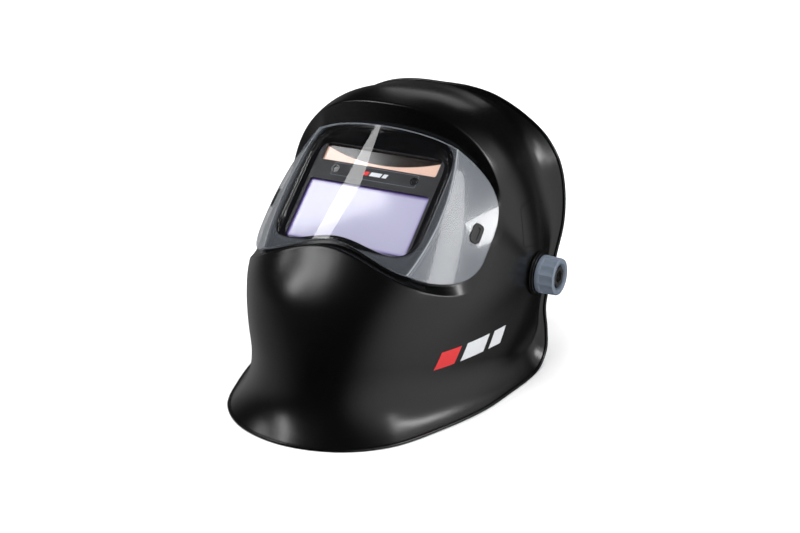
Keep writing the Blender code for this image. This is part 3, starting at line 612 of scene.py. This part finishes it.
def shell_rows(count=336, body_rows=30, lip_rows=12, roll_rows=7):
    """Rings of the shell's outer skin: bay floor, bay wall, crest, body, flared lip, rolled rim."""
    t = even_turns(BAY, count, 8001)
    crest = on_surface(*outline_loop(BAY, t))
    hole, brink = (np.array(outline_loop(outline, t)) for outline in (OPENING, FOOT))
    rows = []
    for share in (0.0, 0.1, 0.22, 0.4, 0.6, 0.8, 0.93):
        x, up = hole + (brink - hole) * share
        rows.append(face_point(x, up, lens_depth(x, up) - LENS_TO_FLOOR))
    foot = face_point(*brink, lens_depth(*brink) - LENS_TO_FLOOR)
    edge, lip, out = edge_loop(t)
    turned = np.degrees(np.abs(t))
    down = np.clip((turned - 95) / 30, 0, 1)[:, None]
    neck = unit(edge - smooth(turned, FLANGE)[:, None] * lip)
    neck = neck * reach(neck)[:, None]
    first = between(crest, neck, 1 / body_rows)
    wall = crest - foot
    tall = np.linalg.norm(wall, axis=1, keepdims=True)
    inner = crest - wall / tall * np.minimum(CREST_RADIUS, 0.45 * tall)
    outer = crest + unit(first - crest) * CREST_RADIUS
    rows += bend_through(rows[-1] + 0.5 * (foot - rows[-1]), foot,
                         foot + 0.25 * wall * np.minimum(1, 4 / tall), 3)
    rows += bend_through(inner, crest, outer, 4)
    rows += [between(crest, neck, k / body_rows) for k in range(1, body_rows + 1)]
    leave = unit(rows[-1] - rows[-2])
    arrive = np.radians(LIP_ANGLE_REAR + (LIP_ANGLE_BOTTOM - LIP_ANGLE_REAR) * down)
    away = np.cos(arrive) * out - np.sin(arrive) * lip
    arrive = np.cos(arrive) * lip + np.sin(arrive) * out
    pull = 0.4 * np.linalg.norm(edge - neck, axis=1, keepdims=True)
    end = edge - 2 * LIP_RADIUS * arrive
    for k in range(1, lip_rows + 1):
        s = k / lip_rows
        rows.append((1 - s) ** 3 * neck + 3 * s * (1 - s) ** 2 * (neck + pull * leave)
                    + 3 * s**2 * (1 - s) * (end - pull * arrive) + s**3 * end)
    for step in range(1, roll_rows + 1):
        a = pi * step / roll_rows
        rows.append(end + arrive * LIP_RADIUS * (1 - cos(a)) + away * 1.1 * sin(a))
    return [row + np.array(PIVOT) for row in rows]


def build_shell():
    rows = shell_rows()
    mesh = mesh_of(rings_bm(rows))
    middle = mesh.polygons[len(rows) // 2 * len(rows[0])]
    if middle.normal.dot(middle.center - PIVOT * MM) < 0:
        mesh.flip_normals()
    obj = walled(mesh, SHELL_WALL)
    for vertex in obj.data.vertices:
        vertex.co.z = max(vertex.co.z, 0)
    bore = BOLT_RADIUS + 0.6
    hole = mesh_of(turned_bm([(0, 150), (bore, 150), (bore, -150), (0, -150)], 40), outward(1))
    mesh = taken(carve(obj, [hole] + [groove_tool(side) for side, _ in SIDES]))
    piece("shell_moulding", mesh, "shell", "helmet", ["shell"], 42)
    for side, name in SIDES:
        profile = [(0, 93.0), (PEG_RADIUS, 93.0), (PEG_RADIUS, 98.7), (0, 98.7)]
        base = outward(side) @ Matrix.Translation((-side * PEG_ORBIT, 0, 0))
        piece("shell_tilt_pin_" + name, mesh_of(turned_bm(softened(profile, 0.4), 32), base), "shell",
              "helmet", ())


def side_point(y, z, lift=0.0):
    """Points of the shell's side, on the wearer's left, above points of the side view."""
    def point_at(x):
        return np.stack((x, y - PIVOT.y, z - PIVOT.z), 1)
    return np.stack((to_surface(point_at, 130.0, y) + lift, y, z), 1)


def groove_tool(side):
    """A fine groove round the knock-out on the shell's side."""
    corners = [(9, 138), (24, 140.5), (50, 131), (54, 118), (50, 106), (34, 104), (10, 107.5)]
    loop = np.array(softened([(*c, 0) for c in corners], 3.0, True))
    dense = []
    for a, b in zip(loop, np.roll(loop, -1, 0)):
        steps = max(1, int(np.linalg.norm(b - a) / 2.0))
        dense += [a + (b - a) * i / steps for i in range(steps)]
    dense = np.array(dense)
    path = side_point(dense[:, 0], dense[:, 1]) * (side, 1, 1)
    return mesh_of(sweep_bm(path, circle(0.32, 6), True, (side, 0, 0)))


def build_emblem():
    """Three plain slanted bars on the near lower side, thin enough to be a printed film."""
    across, tall = 10, 5
    row = across + 1
    layer = row * (tall + 1)
    bottom, height, slant = 41.0, 13.0, 0.35
    edge = ([*range(across)] + [across + j * row for j in range(tall)]
            + [tall * row + i for i in range(across, 0, -1)] + [j * row for j in range(tall, 0, -1)])
    for name, start, end, look in (("red", -86, -68, "mark_red"), ("long", -62, -38, "mark_light"),
                                   ("short", -32, -18, "mark_light")):
        bm = bmesh.new()
        grid = []
        for lift in (0.12, -0.5):
            for j in range(tall + 1):
                z = bottom + height * j / tall
                y = np.linspace(start, end, row) + slant * (z - bottom)
                grid += [bm.verts.new(p) for p in side_point(y, np.full_like(y, z), lift)]
        for a in (j * row + i for j in range(tall) for i in range(across)):
            for base, order in ((0, (0, 1, row + 1, row)), (layer, (0, row, row + 1, 1))):
                bm.faces.new([grid[base + a + k] for k in order])
        for a, b in zip(edge, edge[1:] + edge[:1]):
            bm.faces.new((grid[b], grid[a], grid[a + layer], grid[b + layer]))
        piece("emblem_bar_" + name, mesh_of(bm), look, "helmet")


# ---- lens, gasket and cartridge front

def clip_frame(side):
    """The lens' front at a clip, with Z square to the wing."""
    slope = LENS_WING_SLOPE + 2 * LENS_WING_BEND * (CLIP_X - CREASE)
    place = Vector((side * CLIP_X, CLIP_UP, float(lens_depth(CLIP_X, CLIP_UP))))
    return FACE @ Matrix.Translation(place) @ Matrix.Rotation(side * np.arctan(slope), 4, "Y")


def build_lens(rows=40, steep=0.3, least_area=1e-7):
    turn = np.linspace(-pi / 2, pi / 2, 241)
    across = LENS[1] * signed_power(np.sin(turn), 2 / LENS[6])
    bm = bmesh.new()
    columns = []
    for x, top, bottom in zip(across, *outline_heights(LENS, across)):
        ups = np.linspace(top, bottom, rows + 1)
        columns.append([bm.verts.new((x, up, lens_depth(x, up))) for up in ups])
    for a, b in zip(columns, columns[1:]):
        for k in range(rows):
            bm.faces.new((a[k], a[k + 1], b[k + 1], b[k]))
    bmesh.ops.remove_doubles(bm, verts=bm.verts, dist=10 * MERGE)
    mesh = mesh_of(bm, FACE)
    front = Vector(OUT_FILTER)
    if mesh.polygons[len(mesh.polygons) // 2].normal.dot(front) < 0:
        mesh.flip_normals()
    slots = [mesh_of(plate_bm(rounded(4.6, 8.1, 4.2), -6, 6), clip_frame(side)) for side, _ in SIDES]
    mesh = taken(carve(walled(mesh, LENS_WALL), slots))
    lens = piece("cover_lens", mesh, "lens", "helmet", ["front_cover_lens"], 35)
    mesh.materials.append(LOOKS["lens_edge"])
    for polygon in mesh.polygons:
        rim = abs(polygon.normal.dot(front)) < steep and polygon.area > least_area
        polygon.material_index = int(rim)
    bevelled(lens, 0.25, 2, 50)
    for side, name in SIDES:
        base = clip_frame(side)
        clip = plate_bm(rounded(4.0, 7.5, 3.6), -2.5, 0.5)
        latch = piece("lens_latch_" + name, mesh_of(clip, base), "matte", "helmet",
                      ["lens_clip_" + name])
        carve(latch, [mesh_of(plate_bm(rounded(1.6, 5.0, 1.5), -0.3, 2), base)])
        latch.data.materials.clear()
        latch.data.materials.append(LOOKS["matte"])
        bevelled(latch, 0.4, 3)


def build_gasket():
    """Tapered frame between the bay's floor and the cartridge, with a raised bead round its front."""
    t = even_turns(OPENING, 288, 4001)
    seat = CASE_FRONT + GAP
    rings = []
    for inset, lift in ((-1.7, 0.1), (-1.5, 0.6), (-0.9, 0.95), (-0.3, 0.6), (0.0, 0.1), (0.7, 0.1),
                        (1.1, 0.6), (1.7, 0.95), (2.3, 0.6), (2.7, -0.4)):
        x, up = outline_loop(OPENING, t, inset)
        front = np.maximum(lens_depth(x, up) - LENS_TO_FLOOR, seat + 1.2)
        rings.append(np.stack((x, up, front + lift), 1))
    mouth = rings[-1]
    back = np.stack((*outline_loop(SEAT, t), np.full_like(t, seat)), 1)
    rings += [mouth + (back - mouth) * share for share in (0.3, 0.6, 0.9, 1.0)]
    for inset, depth in ((1.0, seat), (0.7, seat + 0.4)):
        x, up = outline_loop(OPENING, t, inset)
        rings.append(np.stack((x, up, np.full_like(t, depth)), 1))
    piece("window_gasket_moulding", mesh_of(rings_bm(rings, True), FACE), "gloss", "helmet",
          ["window_gasket"], 50)


def cad_look(name, look, width, segments=2):
    """Gives a CAD node its finish and rounded edges."""
    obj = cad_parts[name]
    dress(obj.data, look, 35)
    bevelled(obj, width, segments)


def box_bm(size, centre=(0, 0, 0)):
    bm = bmesh.new()
    bmesh.ops.create_cube(bm, size=1)
    bmesh.ops.scale(bm, vec=size, verts=bm.verts)
    bmesh.ops.translate(bm, vec=centre, verts=bm.verts)
    return bm


def joined(parts):
    """One mesh builder out of several, each left closed on its own."""
    bm = bmesh.new()
    for part in parts:
        mesh = bpy.data.meshes.new("part")
        part.to_mesh(mesh)
        part.free()
        bm.from_mesh(mesh)
        bpy.data.meshes.remove(mesh)
    return bm


def build_cartridge():
    for name, look, width in (("adf_case_front", "case", 0.35), ("adf_case_rear", "case", 0.35),
                              ("uv_ir_filter", "filter", 0.25), ("lcd_shutter", "lcd", 0.25),
                              ("solar_cell", "solar", 0.2), ("circuit_board", "board", 0.15),
                              ("coin_cell", "steel", 0.3), ("arc_sensor_left", "gloss", 0.3),
                              ("arc_sensor_right", "gloss", 0.3), ("adf_retainer", "matte", 0.6),
                              ("inner_cover_plate", "plate", 0.15)):
        cad_look(name, look, width)

    def film(name, outline, height, look, holes=()):
        bm = plate_bm(outline, CASE_FRONT - 0.05, CASE_FRONT + height, holes)
        piece(name, mesh_of(bm, FACE), look, "helmet")

    film("case_label_border", rounded(35.5, 5.3, 1.0, (0, 3.4)), 0.08, "grip",
         [rounded(35.1, 4.9, 0.9, (0, 3.4))])
    for name, start, end, look in (("red", -9.5, -5.5, "mark_red"), ("long", -4.0, 5.0, "mark_light"),
                                   ("short", 6.5, 10.0, "mark_light")):
        corners = [(start, 2.0), (end, 2.0), (end + 1.2, 5.2), (start + 1.2, 5.2)]
        film("band_mark_" + name, corners, 0.1, look)
    for side, name in SIDES:
        ring = turned_bm([(2.5, 105.4), (2.5, 105.75), (3.2, 105.75), (3.4, 105.4)], 40)
        base = FACE @ Matrix.Translation((side * 33.0, 3.5, 0))
        piece("sensor_bezel_" + name, mesh_of(ring, base), "gloss", "helmet")


def fluted_rings(table, flutes, sharpness, per):
    """Rings from rows of (height, radius, depth of the flutes)."""
    turns = [2 * pi * i / (flutes * per) for i in range(flutes * per)]
    rings = []
    for z, radius, depth in table:
        radii = [radius - depth * (0.5 - 0.5 * cos(flutes * a)) ** sharpness for a in turns]
        rings.append([(r * cos(a), r * sin(a), z) for r, a in zip(radii, turns)])
    return rings


def build_controls():
    for body, x, radius, low, flutes, marks in DIALS:
        name = body + "_dial"
        base = FACE @ Matrix.Translation((x, CONTROL_UP, 0))
        high = CASE_BACK - GAP
        table = ((high, -0.3, 0.0), (high - 0.4, 0.0, 0.0), (high - 1.4, 0.0, 0.0),
                 (high - 1.7, -0.3, 0.45), (low + 0.9, -0.3, 0.45), (low + 0.3, -0.6, 0.4),
                 (low, -1.2, 0.2))
        rings = fluted_rings([(z, radius + grow, deep) for z, grow, deep in table], flutes, 0.7, 8)
        rings.append([(px * 0.02, py * 0.02, low + 0.15) for px, py, _ in rings[-1]])
        stem = turned_bm([(0, high - 0.4), (2.8, high - 0.4), (2.8, 100.2), (0, 100.2)], 32)
        piece(name + "_grip", mesh_of(joined([capped_bm(rings), stem]), base), "grip", body, [name],
              50)
        mark = box_bm((0.9, radius * 0.75, 0.3), (0, radius * 0.52, low - 0.05))
        piece(name + "_pointer", mesh_of(mark, base), "mark_light", body)
        ticks = []
        for k in range(marks):
            turn = radians(DIAL_SWEEP * (k / (marks - 1) - 0.5))
            tick = box_bm((0.45, 1.5, 0.25), (0, radius + 1.9, CASE_BACK - 0.05))
            bmesh.ops.rotate(tick, verts=tick.verts, matrix=Matrix.Rotation(turn, 3, "Z"))
            ticks.append(tick)
        piece(name + "_scale", mesh_of(joined(ticks), base), "mark_light", "helmet")
    cad_look("test_button", "grip", 0.35, 3)
    cad_look("battery_cap", "grip", 0.3, 3)


# ---- pivot hardware

def build_pivots():
    for side, name in SIDES:
        upright = outward(side, WORLD @ Matrix.Translation(PIVOT))
        low, high = WASHER
        bore = BOLT_RADIUS + 0.6
        profile = [(bore, low), (17, low), (17, low + 0.9), (15.6, low + 1.0), (15.6, low + 1.6),
                   (16.4, low + 1.7), (16.4, high), (bore, high)]
        washer = turned_bm(softened(profile, 0.35, True, 3))
        piece("pivot_washer_" + name, mesh_of(washer, upright), "gloss", "helmet",
              ["outer_washer_" + name])
        build_knob(name, name + "_knob", outward(side))
        cad_look("pivot_bolt_" + name, "steel", 0.3)
        cad_look("friction_washer_" + name, "rubber", 0.2)
        cad_look("tilt_plate_" + name, "band", 0.4)


def build_knob(name, body, base, flutes=12, per=14):
    low, high = KNOB
    table = ((low, 13.2, 0), (low + 0.3, 14.3, 0), (low + 0.9, 14.6, 0), (low + 2.9, 14.6, 0),
             (low + 3.5, 14.5, 0.15), (low + 3.9, 14.45, 1.15), (low + 8, 14.3, 1.25),
             (high - 2.2, 14.15, 1.2), (high - 1.5, 14.1, 0.9), (high - 1.1, 14.0, 0.2),
             (high - 0.5, 13.7, 0), (high - 0.1, 13.0, 0), (high, 12.4, 0), (high - 0.1, 10.6, 0),
             (high - 0.5, 10.1, 0), (high - 2.6, 9.7, 0), (high - 3.1, 9.3, 0))
    bore = BOLT_RADIUS + 0.4
    inside = ((high - 3.2, bore + 0.4, 0), (high - 3.6, bore, 0), (low + 0.4, bore, 0),
              (low, bore + 0.4, 0))
    rings = fluted_rings(table + inside, flutes, 0.55, per)
    piece("tilt_knob_" + name, mesh_of(rings_bm(rings, True), base), "knob", body, ["knob_" + name],
          45)
    insert = plate_bm(circle(8.6, 6), *SOCKET, [circle(5.2, 6)])
    cap = piece("knob_socket_" + name, mesh_of(insert, base), "matte", body, ["knob_insert_" + name],
                30)
    bevelled(cap, 0.25)
    floor = turned_bm([(0, SOCKET[0]), (8.0, SOCKET[0]), (8.0, 117.6), (0, 117.6)], 48)
    piece("knob_socket_floor_" + name, mesh_of(floor, base), "gloss", body)


# ---- headgear

def oval(half_width, depth, first, last, count, power=2.0):
    """Part of an oval or a fuller curve in the XY plane, between two angles in degrees."""
    a = np.radians(np.linspace(first, last, count))
    x = half_width * signed_power(np.cos(a), 2 / power)
    return np.stack((x, depth * np.sin(a) ** (2 / power)), 1)


def resampled(path, spacing):
    path = np.array(path, float)
    run = run_along(path)
    marks = np.linspace(0, run[-1], max(2, int(run[-1] / spacing)))
    return np.stack([np.interp(marks, run, path[:, k]) for k in range(path.shape[1])], 1)


def sloped(path):
    """A path in the XY plane lifted onto the headband's slope."""
    return np.stack((path[:, 0], path[:, 1], BAND_RISE + BAND_SLOPE * path[:, 1]), 1)


def strap_bm(path, wall, half_height, on_slope=True):
    """A strip with rounded edges along a path in the XY plane or on the headband's slope."""
    path = resampled(path, 2.5)
    line = sloped(path) if on_slope else np.column_stack((path, np.zeros(len(path))))
    w, h = wall / 2, half_height
    section = softened([(w, -h, 0), (w, h, 0), (-w, h, 0), (-w, -h, 0)], 0.5, True, 3)
    return sweep_bm(line, [(s, t) for s, t, _ in section])


def slots_along(path, marks, length, height, on_slope=True):
    """Pill-shaped cutters through a strip at distances along its path."""
    path = resampled(path, 0.5)
    run = run_along(path)
    slope, rise = (BAND_SLOPE, BAND_RISE) if on_slope else (0.0, 0.0)
    tools = []
    for mark in marks:
        x, y = (np.interp(mark, run, path[:, k]) for k in (0, 1))
        nx, ny = (np.interp(mark + 0.5, run, path[:, k]) for k in (0, 1))
        along = Vector((nx - x, ny - y, slope * (ny - y))).normalized()
        across = along.cross(Vector((0, 0, 1))).normalized()
        turn = Matrix((along, across.cross(along), across)).transposed().to_4x4()
        half = (length / 2, height / 2)
        tool = plate_bm(rounded(*half, min(half) - 0.05, arc=5), -3, 3)
        place = Matrix.Translation((x, y, rise + slope * y)) @ turn
        bmesh.ops.transform(tool, matrix=place, verts=tool.verts)
        tools.append(tool)
    return tools


def banded(name, bm, tools, body, replaces, place=HEAD):
    """A headgear strip with cutters taken out of it."""
    obj = piece(name, mesh_of(bm, place), "band", body, replaces, 35)
    carve(obj, [mesh_of(joined(tools), place)])
    dress(obj.data, "band", 35)
    return obj


def build_headgear():
    front = oval(BAND_HALF_WIDTH, BAND_FRONT, 0, 180, 121) * (1, -1)
    path = np.concatenate(([(BAND_HALF_WIDTH, BAND_SIDE_END)], front,
                           [(-BAND_HALF_WIDTH, BAND_SIDE_END)]))
    whole = run_along(path)[-1]
    marks = [m for m in np.arange(14, whole - 10, 11.0) if abs(m - whole / 2) > 62]
    banded("headband_moulding", strap_bm(path, BAND_WALL, BAND_HALF_HEIGHT),
           slots_along(path, marks, 6.0, 9.0), "headgear", ["headband"])
    for name, half_width, back, crown, slot in (("front", 73.6, 22, 82, (3.6, 3.6)),
                                                ("rear", 71.0, 58, 78, (6.0, 2.6))):
        arch = oval(half_width, crown - 12, 0, 180, 121) + (0, 12)
        path = np.concatenate(([(half_width, -2)], arch, [(-half_width, -2)]))
        half = run_along(path)[-1] / 2
        place = HEAD @ Matrix.Translation((0, back, 0)) @ Matrix.Rotation(radians(90), 4, "X")
        banded("crown_band_" + name, strap_bm(path, 1.8, STRIP_HALF_HEIGHT, False),
               slots_along(path, np.arange(half - 45, half + 46, 10.0), *slot, False), "headgear",
               ["crown_strap_" + name], place)
        for side, word in SIDES:
            profile = [(0, -0.1), (3.2, -0.1), (3.2, 0.2), (2.4, 1.2), (0, 1.3)]
            rivet_place = (place @ Matrix.Translation((side * (half_width - 0.95), 5, 0))
                           @ Matrix.Rotation(radians(-90 * side), 4, "Y"))
            rivet = mesh_of(turned_bm(softened(profile, 0.3), 28), rivet_place)
            piece("crown_stud_%s_%s" % (name, word), rivet, "band", "headgear")
    inner, outer = ARM
    half = BOLT_RADIUS + 0.4
    for side, word in SIDES:
        outline = [(outer, -20), (outer, 34), (82, 62), (82, 78), (78.2, 78), (78.2, 62), (inner, 34),
                   (inner, -20)]
        outline = [(side * x, y, 0) for x, y in outline][::side]
        arm = plate_bm([p[:2] for p in softened(outline, 2.0, True, 5)], -11, 11)
        slot = plate_bm(rounded(half, half + REACH + 0.5, half - 0.1, arc=12), inner - 2, outer + 2)
        bmesh.ops.rotate(slot, verts=slot.verts, matrix=Matrix.Rotation(radians(90 * side), 3, "Y"))
        arm = banded("side_arm_moulding_" + word, arm, [slot], "headgear", ["side_arm_" + word])
        bevelled(arm, 0.7, 3)


def build_nape():
    middle = BAND_RISE + BAND_SLOPE * STRAP_BACK
    for side, word, back in ((1, "left", STRAP_BACK + 2.2), (-1, "right", STRAP_BACK)):
        bend = oval(STRAP_HALF_WIDTH, back - BAND_SIDE_END, 0, 112, 121, STRAP_POWER)
        bend = bend + (0, BAND_SIDE_END)
        path = np.concatenate(([(STRAP_HALF_WIDTH, STRAP_START)], bend)) * (side, 1)
        tools = [box_bm((36, 12, 8.4), (0, back, middle))]
        tools += slots_along(path, np.arange(8, 44, 9.0), 5.0, 5.0)
        banded("nape_band_" + word, strap_bm(path, STRAP_WALL, STRIP_HALF_HEIGHT), tools, "nape_band",
               ["nape_strap_" + word])
    cad_look("ratchet_cover_front", "matte", 0.4)
    cad_look("ratchet_cover_rear", "matte", 0.8, 3)
    base = (HEAD @ Matrix.Translation((0, STRAP_BACK + 12.6, middle))
            @ Matrix.Rotation(radians(-90), 4, "X"))
    table = ((0, 14.6, 0), (0.5, 15.4, 0), (1.6, 15.6, 0), (2.0, 16.0, 0.9), (7.6, 16.0, 0.9),
             (9.2, 15.6, 0.8), (10.1, 14.8, 0.4), (10.5, 13.6, 0), (10.4, 11.5, 0), (9.4, 10.6, 0),
             (9.1, 4, 0), (9.1, 0.3, 0))
    shaft = turned_bm([(0, 1), (2.5, 1), (2.5, -18), (0, -18)], 24)
    teeth = [point[:2] for point in fluted_rings([(0, 3.9, 1.2)], 8, 1.0, 8)[0]]
    knob = joined([capped_bm(fluted_rings(table, 20, 0.8, 8)), shaft, plate_bm(teeth, -15.6, -8)])
    piece("ratchet_knob_grip", mesh_of(knob, base), "knob", "size_knob", ["ratchet_knob"],
          45)


# ---- pads

def pad_bm(line, ups, across, half_height, thick, rows=18):
    """A closed pad along a line: rounded ends, sides that draw in, and a fuller middle."""
    turns = [pi * (k + 0.5) / rows for k in range(2 * rows)]
    shape = [(signed_power(np.cos(a), 0.55), signed_power(np.sin(a), 0.75)) for a in turns]
    rings = []
    for i in range(len(line)):
        full = min(1.0, min(i, len(line) - 1 - i) / 7.0) ** 0.5
        height, half = half_height * (0.55 + 0.45 * full), thick / 2 * (0.3 + 0.7 * full)
        rings.append([line[i] + ups[i] * up * height + across[i] * out * half for up, out in shape])
    return capped_bm(rings)


def inflated(mesh):
    """Fills the cover as a foam core does: cloth under pressure, held within PAD_CAP of its start."""
    obj = placed("pad_cover", mesh)
    remesh = obj.modifiers.new("remesh", "REMESH")
    remesh.mode, remesh.voxel_size = "VOXEL", PAD_VOXEL
    applied(obj)
    start = np.empty(len(obj.data.vertices) * 3)
    obj.data.vertices.foreach_get("co", start)
    cloth = obj.modifiers.new("cloth", "CLOTH")
    cloth.settings.quality = 5
    cloth.settings.mass = 0.12
    cloth.settings.tension_stiffness = cloth.settings.compression_stiffness = 12
    cloth.settings.bending_stiffness = 0.4
    cloth.settings.use_pressure = True
    cloth.settings.uniform_pressure_force = 4.0
    cloth.settings.effector_weights.gravity = 0
    cloth.collision_settings.use_collision = False
    for step in range(1, PAD_FRAMES + 1):
        bpy.context.scene.frame_set(step)
    applied(obj)
    bpy.context.scene.frame_set(1)
    end = np.empty(len(start))
    obj.data.vertices.foreach_get("co", end)
    move = (end - start).reshape(-1, 3)
    far = np.linalg.norm(move, axis=1, keepdims=True)
    move *= np.minimum(1, PAD_CAP * MM / np.maximum(far, 1e-9))
    obj.data.vertices.foreach_set("co", (start.reshape(-1, 3) + move).ravel())
    obj.data.update()
    return obj


def cushion(name, path, half_height, thick, body, replaces, seams):
    """A foam pad in a knitted cover, with a stitched border and cross seams at shares of its length."""
    inset, stitch, cross_stitch, draw = 4.0, 1.3, 1.8, 0.26
    line = sloped(resampled(path, 1.6))
    along = unit(np.gradient(line, axis=0))
    across = unit(np.cross(along, (0, 0, 1)))
    ups = np.cross(across, along)
    obj = inflated(mesh_of(pad_bm(line, ups, across, half_height - 0.8, thick - 1.2), HEAD))
    obj.modifiers.new("fine", "SUBSURF").levels = 1
    mesh = taken(applied(obj))
    inverse = HEAD.inverted()
    run = run_along(line)
    limit = thick / 2 + 0.6
    for vertex in mesh.vertices:
        point = np.array(inverse @ vertex.co)
        i = int(np.argmin(((line - point) ** 2).sum(1)))
        off = point - line[i]
        high, deep = abs(off @ ups[i]), off @ across[i]
        edge = min(run[i], run[-1] - run[i])
        pulls = [0.0]
        if edge > inset:
            pulls.append(1 - abs(high - half_height * 0.78) / stitch)
        if high < half_height * 0.8:
            pulls.append(1 - abs(edge - inset) / stitch)
        if high < half_height * 0.78:
            pulls += [1 - abs(run[i] - seam * run[-1]) / cross_stitch for seam in seams]
        drawn = max(-limit, min(limit, deep)) * (1 - draw * max(pulls))
        vertex.co = HEAD @ Vector(point + across[i] * (drawn - deep))
    pad = piece(name, mesh, "foam", body, replaces, 70)


def build_pads():
    inner = BAND_WALL / 2 + GAP + 3
    brow = oval(BAND_HALF_WIDTH - inner, BAND_FRONT - inner, 28, 152, 161) * (1, -1)
    cushion("brow_cushion", brow, 15.0, 6.0, "headgear", ["brow_pad"], (0.2, 0.4, 0.6, 0.8))
    nape = np.stack((np.linspace(-33.5, 33.5, 60), np.full(60, STRAP_BACK - 10.1)), 1)
    cushion("nape_cushion", nape, 13.0, 6.0, "nape_band", ["nape_pad"], (0.5,))


# ---- light, floor and camera

LIGHTS = (("strip_left", (-0.665, -0.251, 0.701), 1.5, (0.17, 0.8), 3.0, (-0.76, -0.26, -0.59)),
          ("strip_right", (0.845, 0.01, 0.5), 1.5, (0.14, 0.75), 2.8, (-0.39, 0.655, 0.647)),
          ("box_back_right", (0.62, 0.62, 0.36), 1.8, (0.5, 0.5), 0.35, (0, 0, 1)),
          ("strip_flange", (0.85, 0.25, 0.46), 1.5, (0.14, 0.5), 4.2, (0.3, -0.9, 0.2)),
          ("box_back", (-0.3, 0.9, 0.55), 1.9, (0.9, 0.7), 1.3, (0, 0, 1)),
          ("box_chin_left", (-0.55, -0.53, 0.6), 1.8, (0.2, 0.7), 5.5, (0, 0, 1)),
          ("fill_top", (-0.15, -0.2, 1.0), 1.9, (1.6, 1.6), 5, (0, 1, 0)),
          ("fill_back", (0.1, 1.0, 0.4), 1.8, (1.0, 0.8), 16, (0, 1, 0)),
          ("fill_front", (-0.2, -1.0, 0.5), 2.2, (1.2, 0.9), 12, (0, 1, 0)))
LIGHT_TARGET = Vector((0, -0.06, 0.12))


def area_light(name, toward, distance, size, power, along):
    """A rectangular light facing the target, its long side along a direction; a fill shows no gloss."""
    light = bpy.data.lights.new(name, "AREA")
    light.shape = "RECTANGLE"
    light.size, light.size_y = size
    light.energy = power
    obj = placed(name, light)
    back = Vector(toward).normalized()
    right = Vector(along).cross(back).normalized()
    basis = Matrix((right, back.cross(right), back)).transposed().to_4x4()
    obj.matrix_world = Matrix.Translation(LIGHT_TARGET + back * distance) @ basis
    obj.visible_camera = False
    obj.visible_glossy = not name.startswith("fill")


def build_stage():
    bpy.ops.mesh.primitive_plane_add(size=14, location=(0, 0, -0.0005))
    floor = bpy.context.object
    floor.name = "floor"
    floor.data.materials.append(surface("floor_paper", (0.86, 0.86, 0.865), 0.9, 0.01, 0.03, 300.0,
                                        0.02))
    floor.visible_glossy = False
    bpy.ops.mesh.primitive_uv_sphere_add(segments=48, ring_count=24, radius=6.5)
    dome = bpy.context.object
    dome.name = "backdrop"
    paper = bpy.data.materials.new("backdrop_paper")
    paper.use_nodes = True
    shader = paper.node_tree.nodes["Principled BSDF"]
    shader.inputs["Base Color"].default_value = (0, 0, 0, 1)
    shader.inputs["Specular IOR Level"].default_value = 0
    shader.inputs["Emission Color"].default_value = (0.93, 0.935, 0.94, 1)
    shader.inputs["Emission Strength"].default_value = 1.0
    dome.data.materials.append(paper)
    dome.visible_glossy = dome.visible_diffuse = dome.visible_shadow = False
    dome.visible_transmission = False
    build_world()
    for row in LIGHTS:
        area_light(*row)
    even = placed("fill_even", bpy.data.lights.new("fill_even", "SUN"))
    even.data.energy, even.data.angle = 3.2, 1.2
    even.rotation_euler = (0.15, -0.1, 0)
    even.visible_glossy = False


def build_world():
    """White light from the right and, low down, from the left; nearly dark elsewhere."""
    world = bpy.data.worlds.new("studio")
    bpy.context.scene.world = world
    world.use_nodes = True
    tree = world.node_tree
    where = node(tree, "ShaderNodeTexCoord").outputs["Generated"]
    apart = node(tree, "ShaderNodeSeparateXYZ", Vector=where).outputs
    right = ramp(tree, apart["X"], 0.35, 1.0, kind="SMOOTHSTEP")
    left = ramp(tree, apart["X"], -0.35, -1.0, high=0.4, kind="SMOOTHSTEP")
    low = ramp(tree, apart["Z"], 0.35, -0.1, kind="SMOOTHSTEP")
    both = calc(tree, "ADD", right, calc(tree, "MULTIPLY", left, low))
    background = tree.nodes["Background"]
    background.inputs["Color"].default_value = (1, 1, 1, 1)
    feed(tree, background.inputs["Strength"], calc(tree, "ADD", both, 0.012))


def build_camera():
    camera = bpy.data.cameras.new("camera")
    camera.lens, camera.sensor_width = 75.7, 36.0
    camera.clip_start, camera.clip_end = 0.05, 50
    obj = placed("camera", camera)
    back = Vector((0.4584, -0.8169, 0.3502))
    obj.location = (0.5893, -1.0492, 0.5277)
    obj.rotation_mode = "QUATERNION"
    obj.rotation_quaternion = (-back).to_track_quat("-Z", "Y")
    bpy.context.scene.camera = obj
    bpy.context.scene.view_settings.view_transform = "Standard"


build_shell()
build_emblem()
build_lens()
build_gasket()
build_cartridge()
build_controls()
build_pivots()
build_headgear()
build_nape()
build_pads()
build_stage()
build_camera()
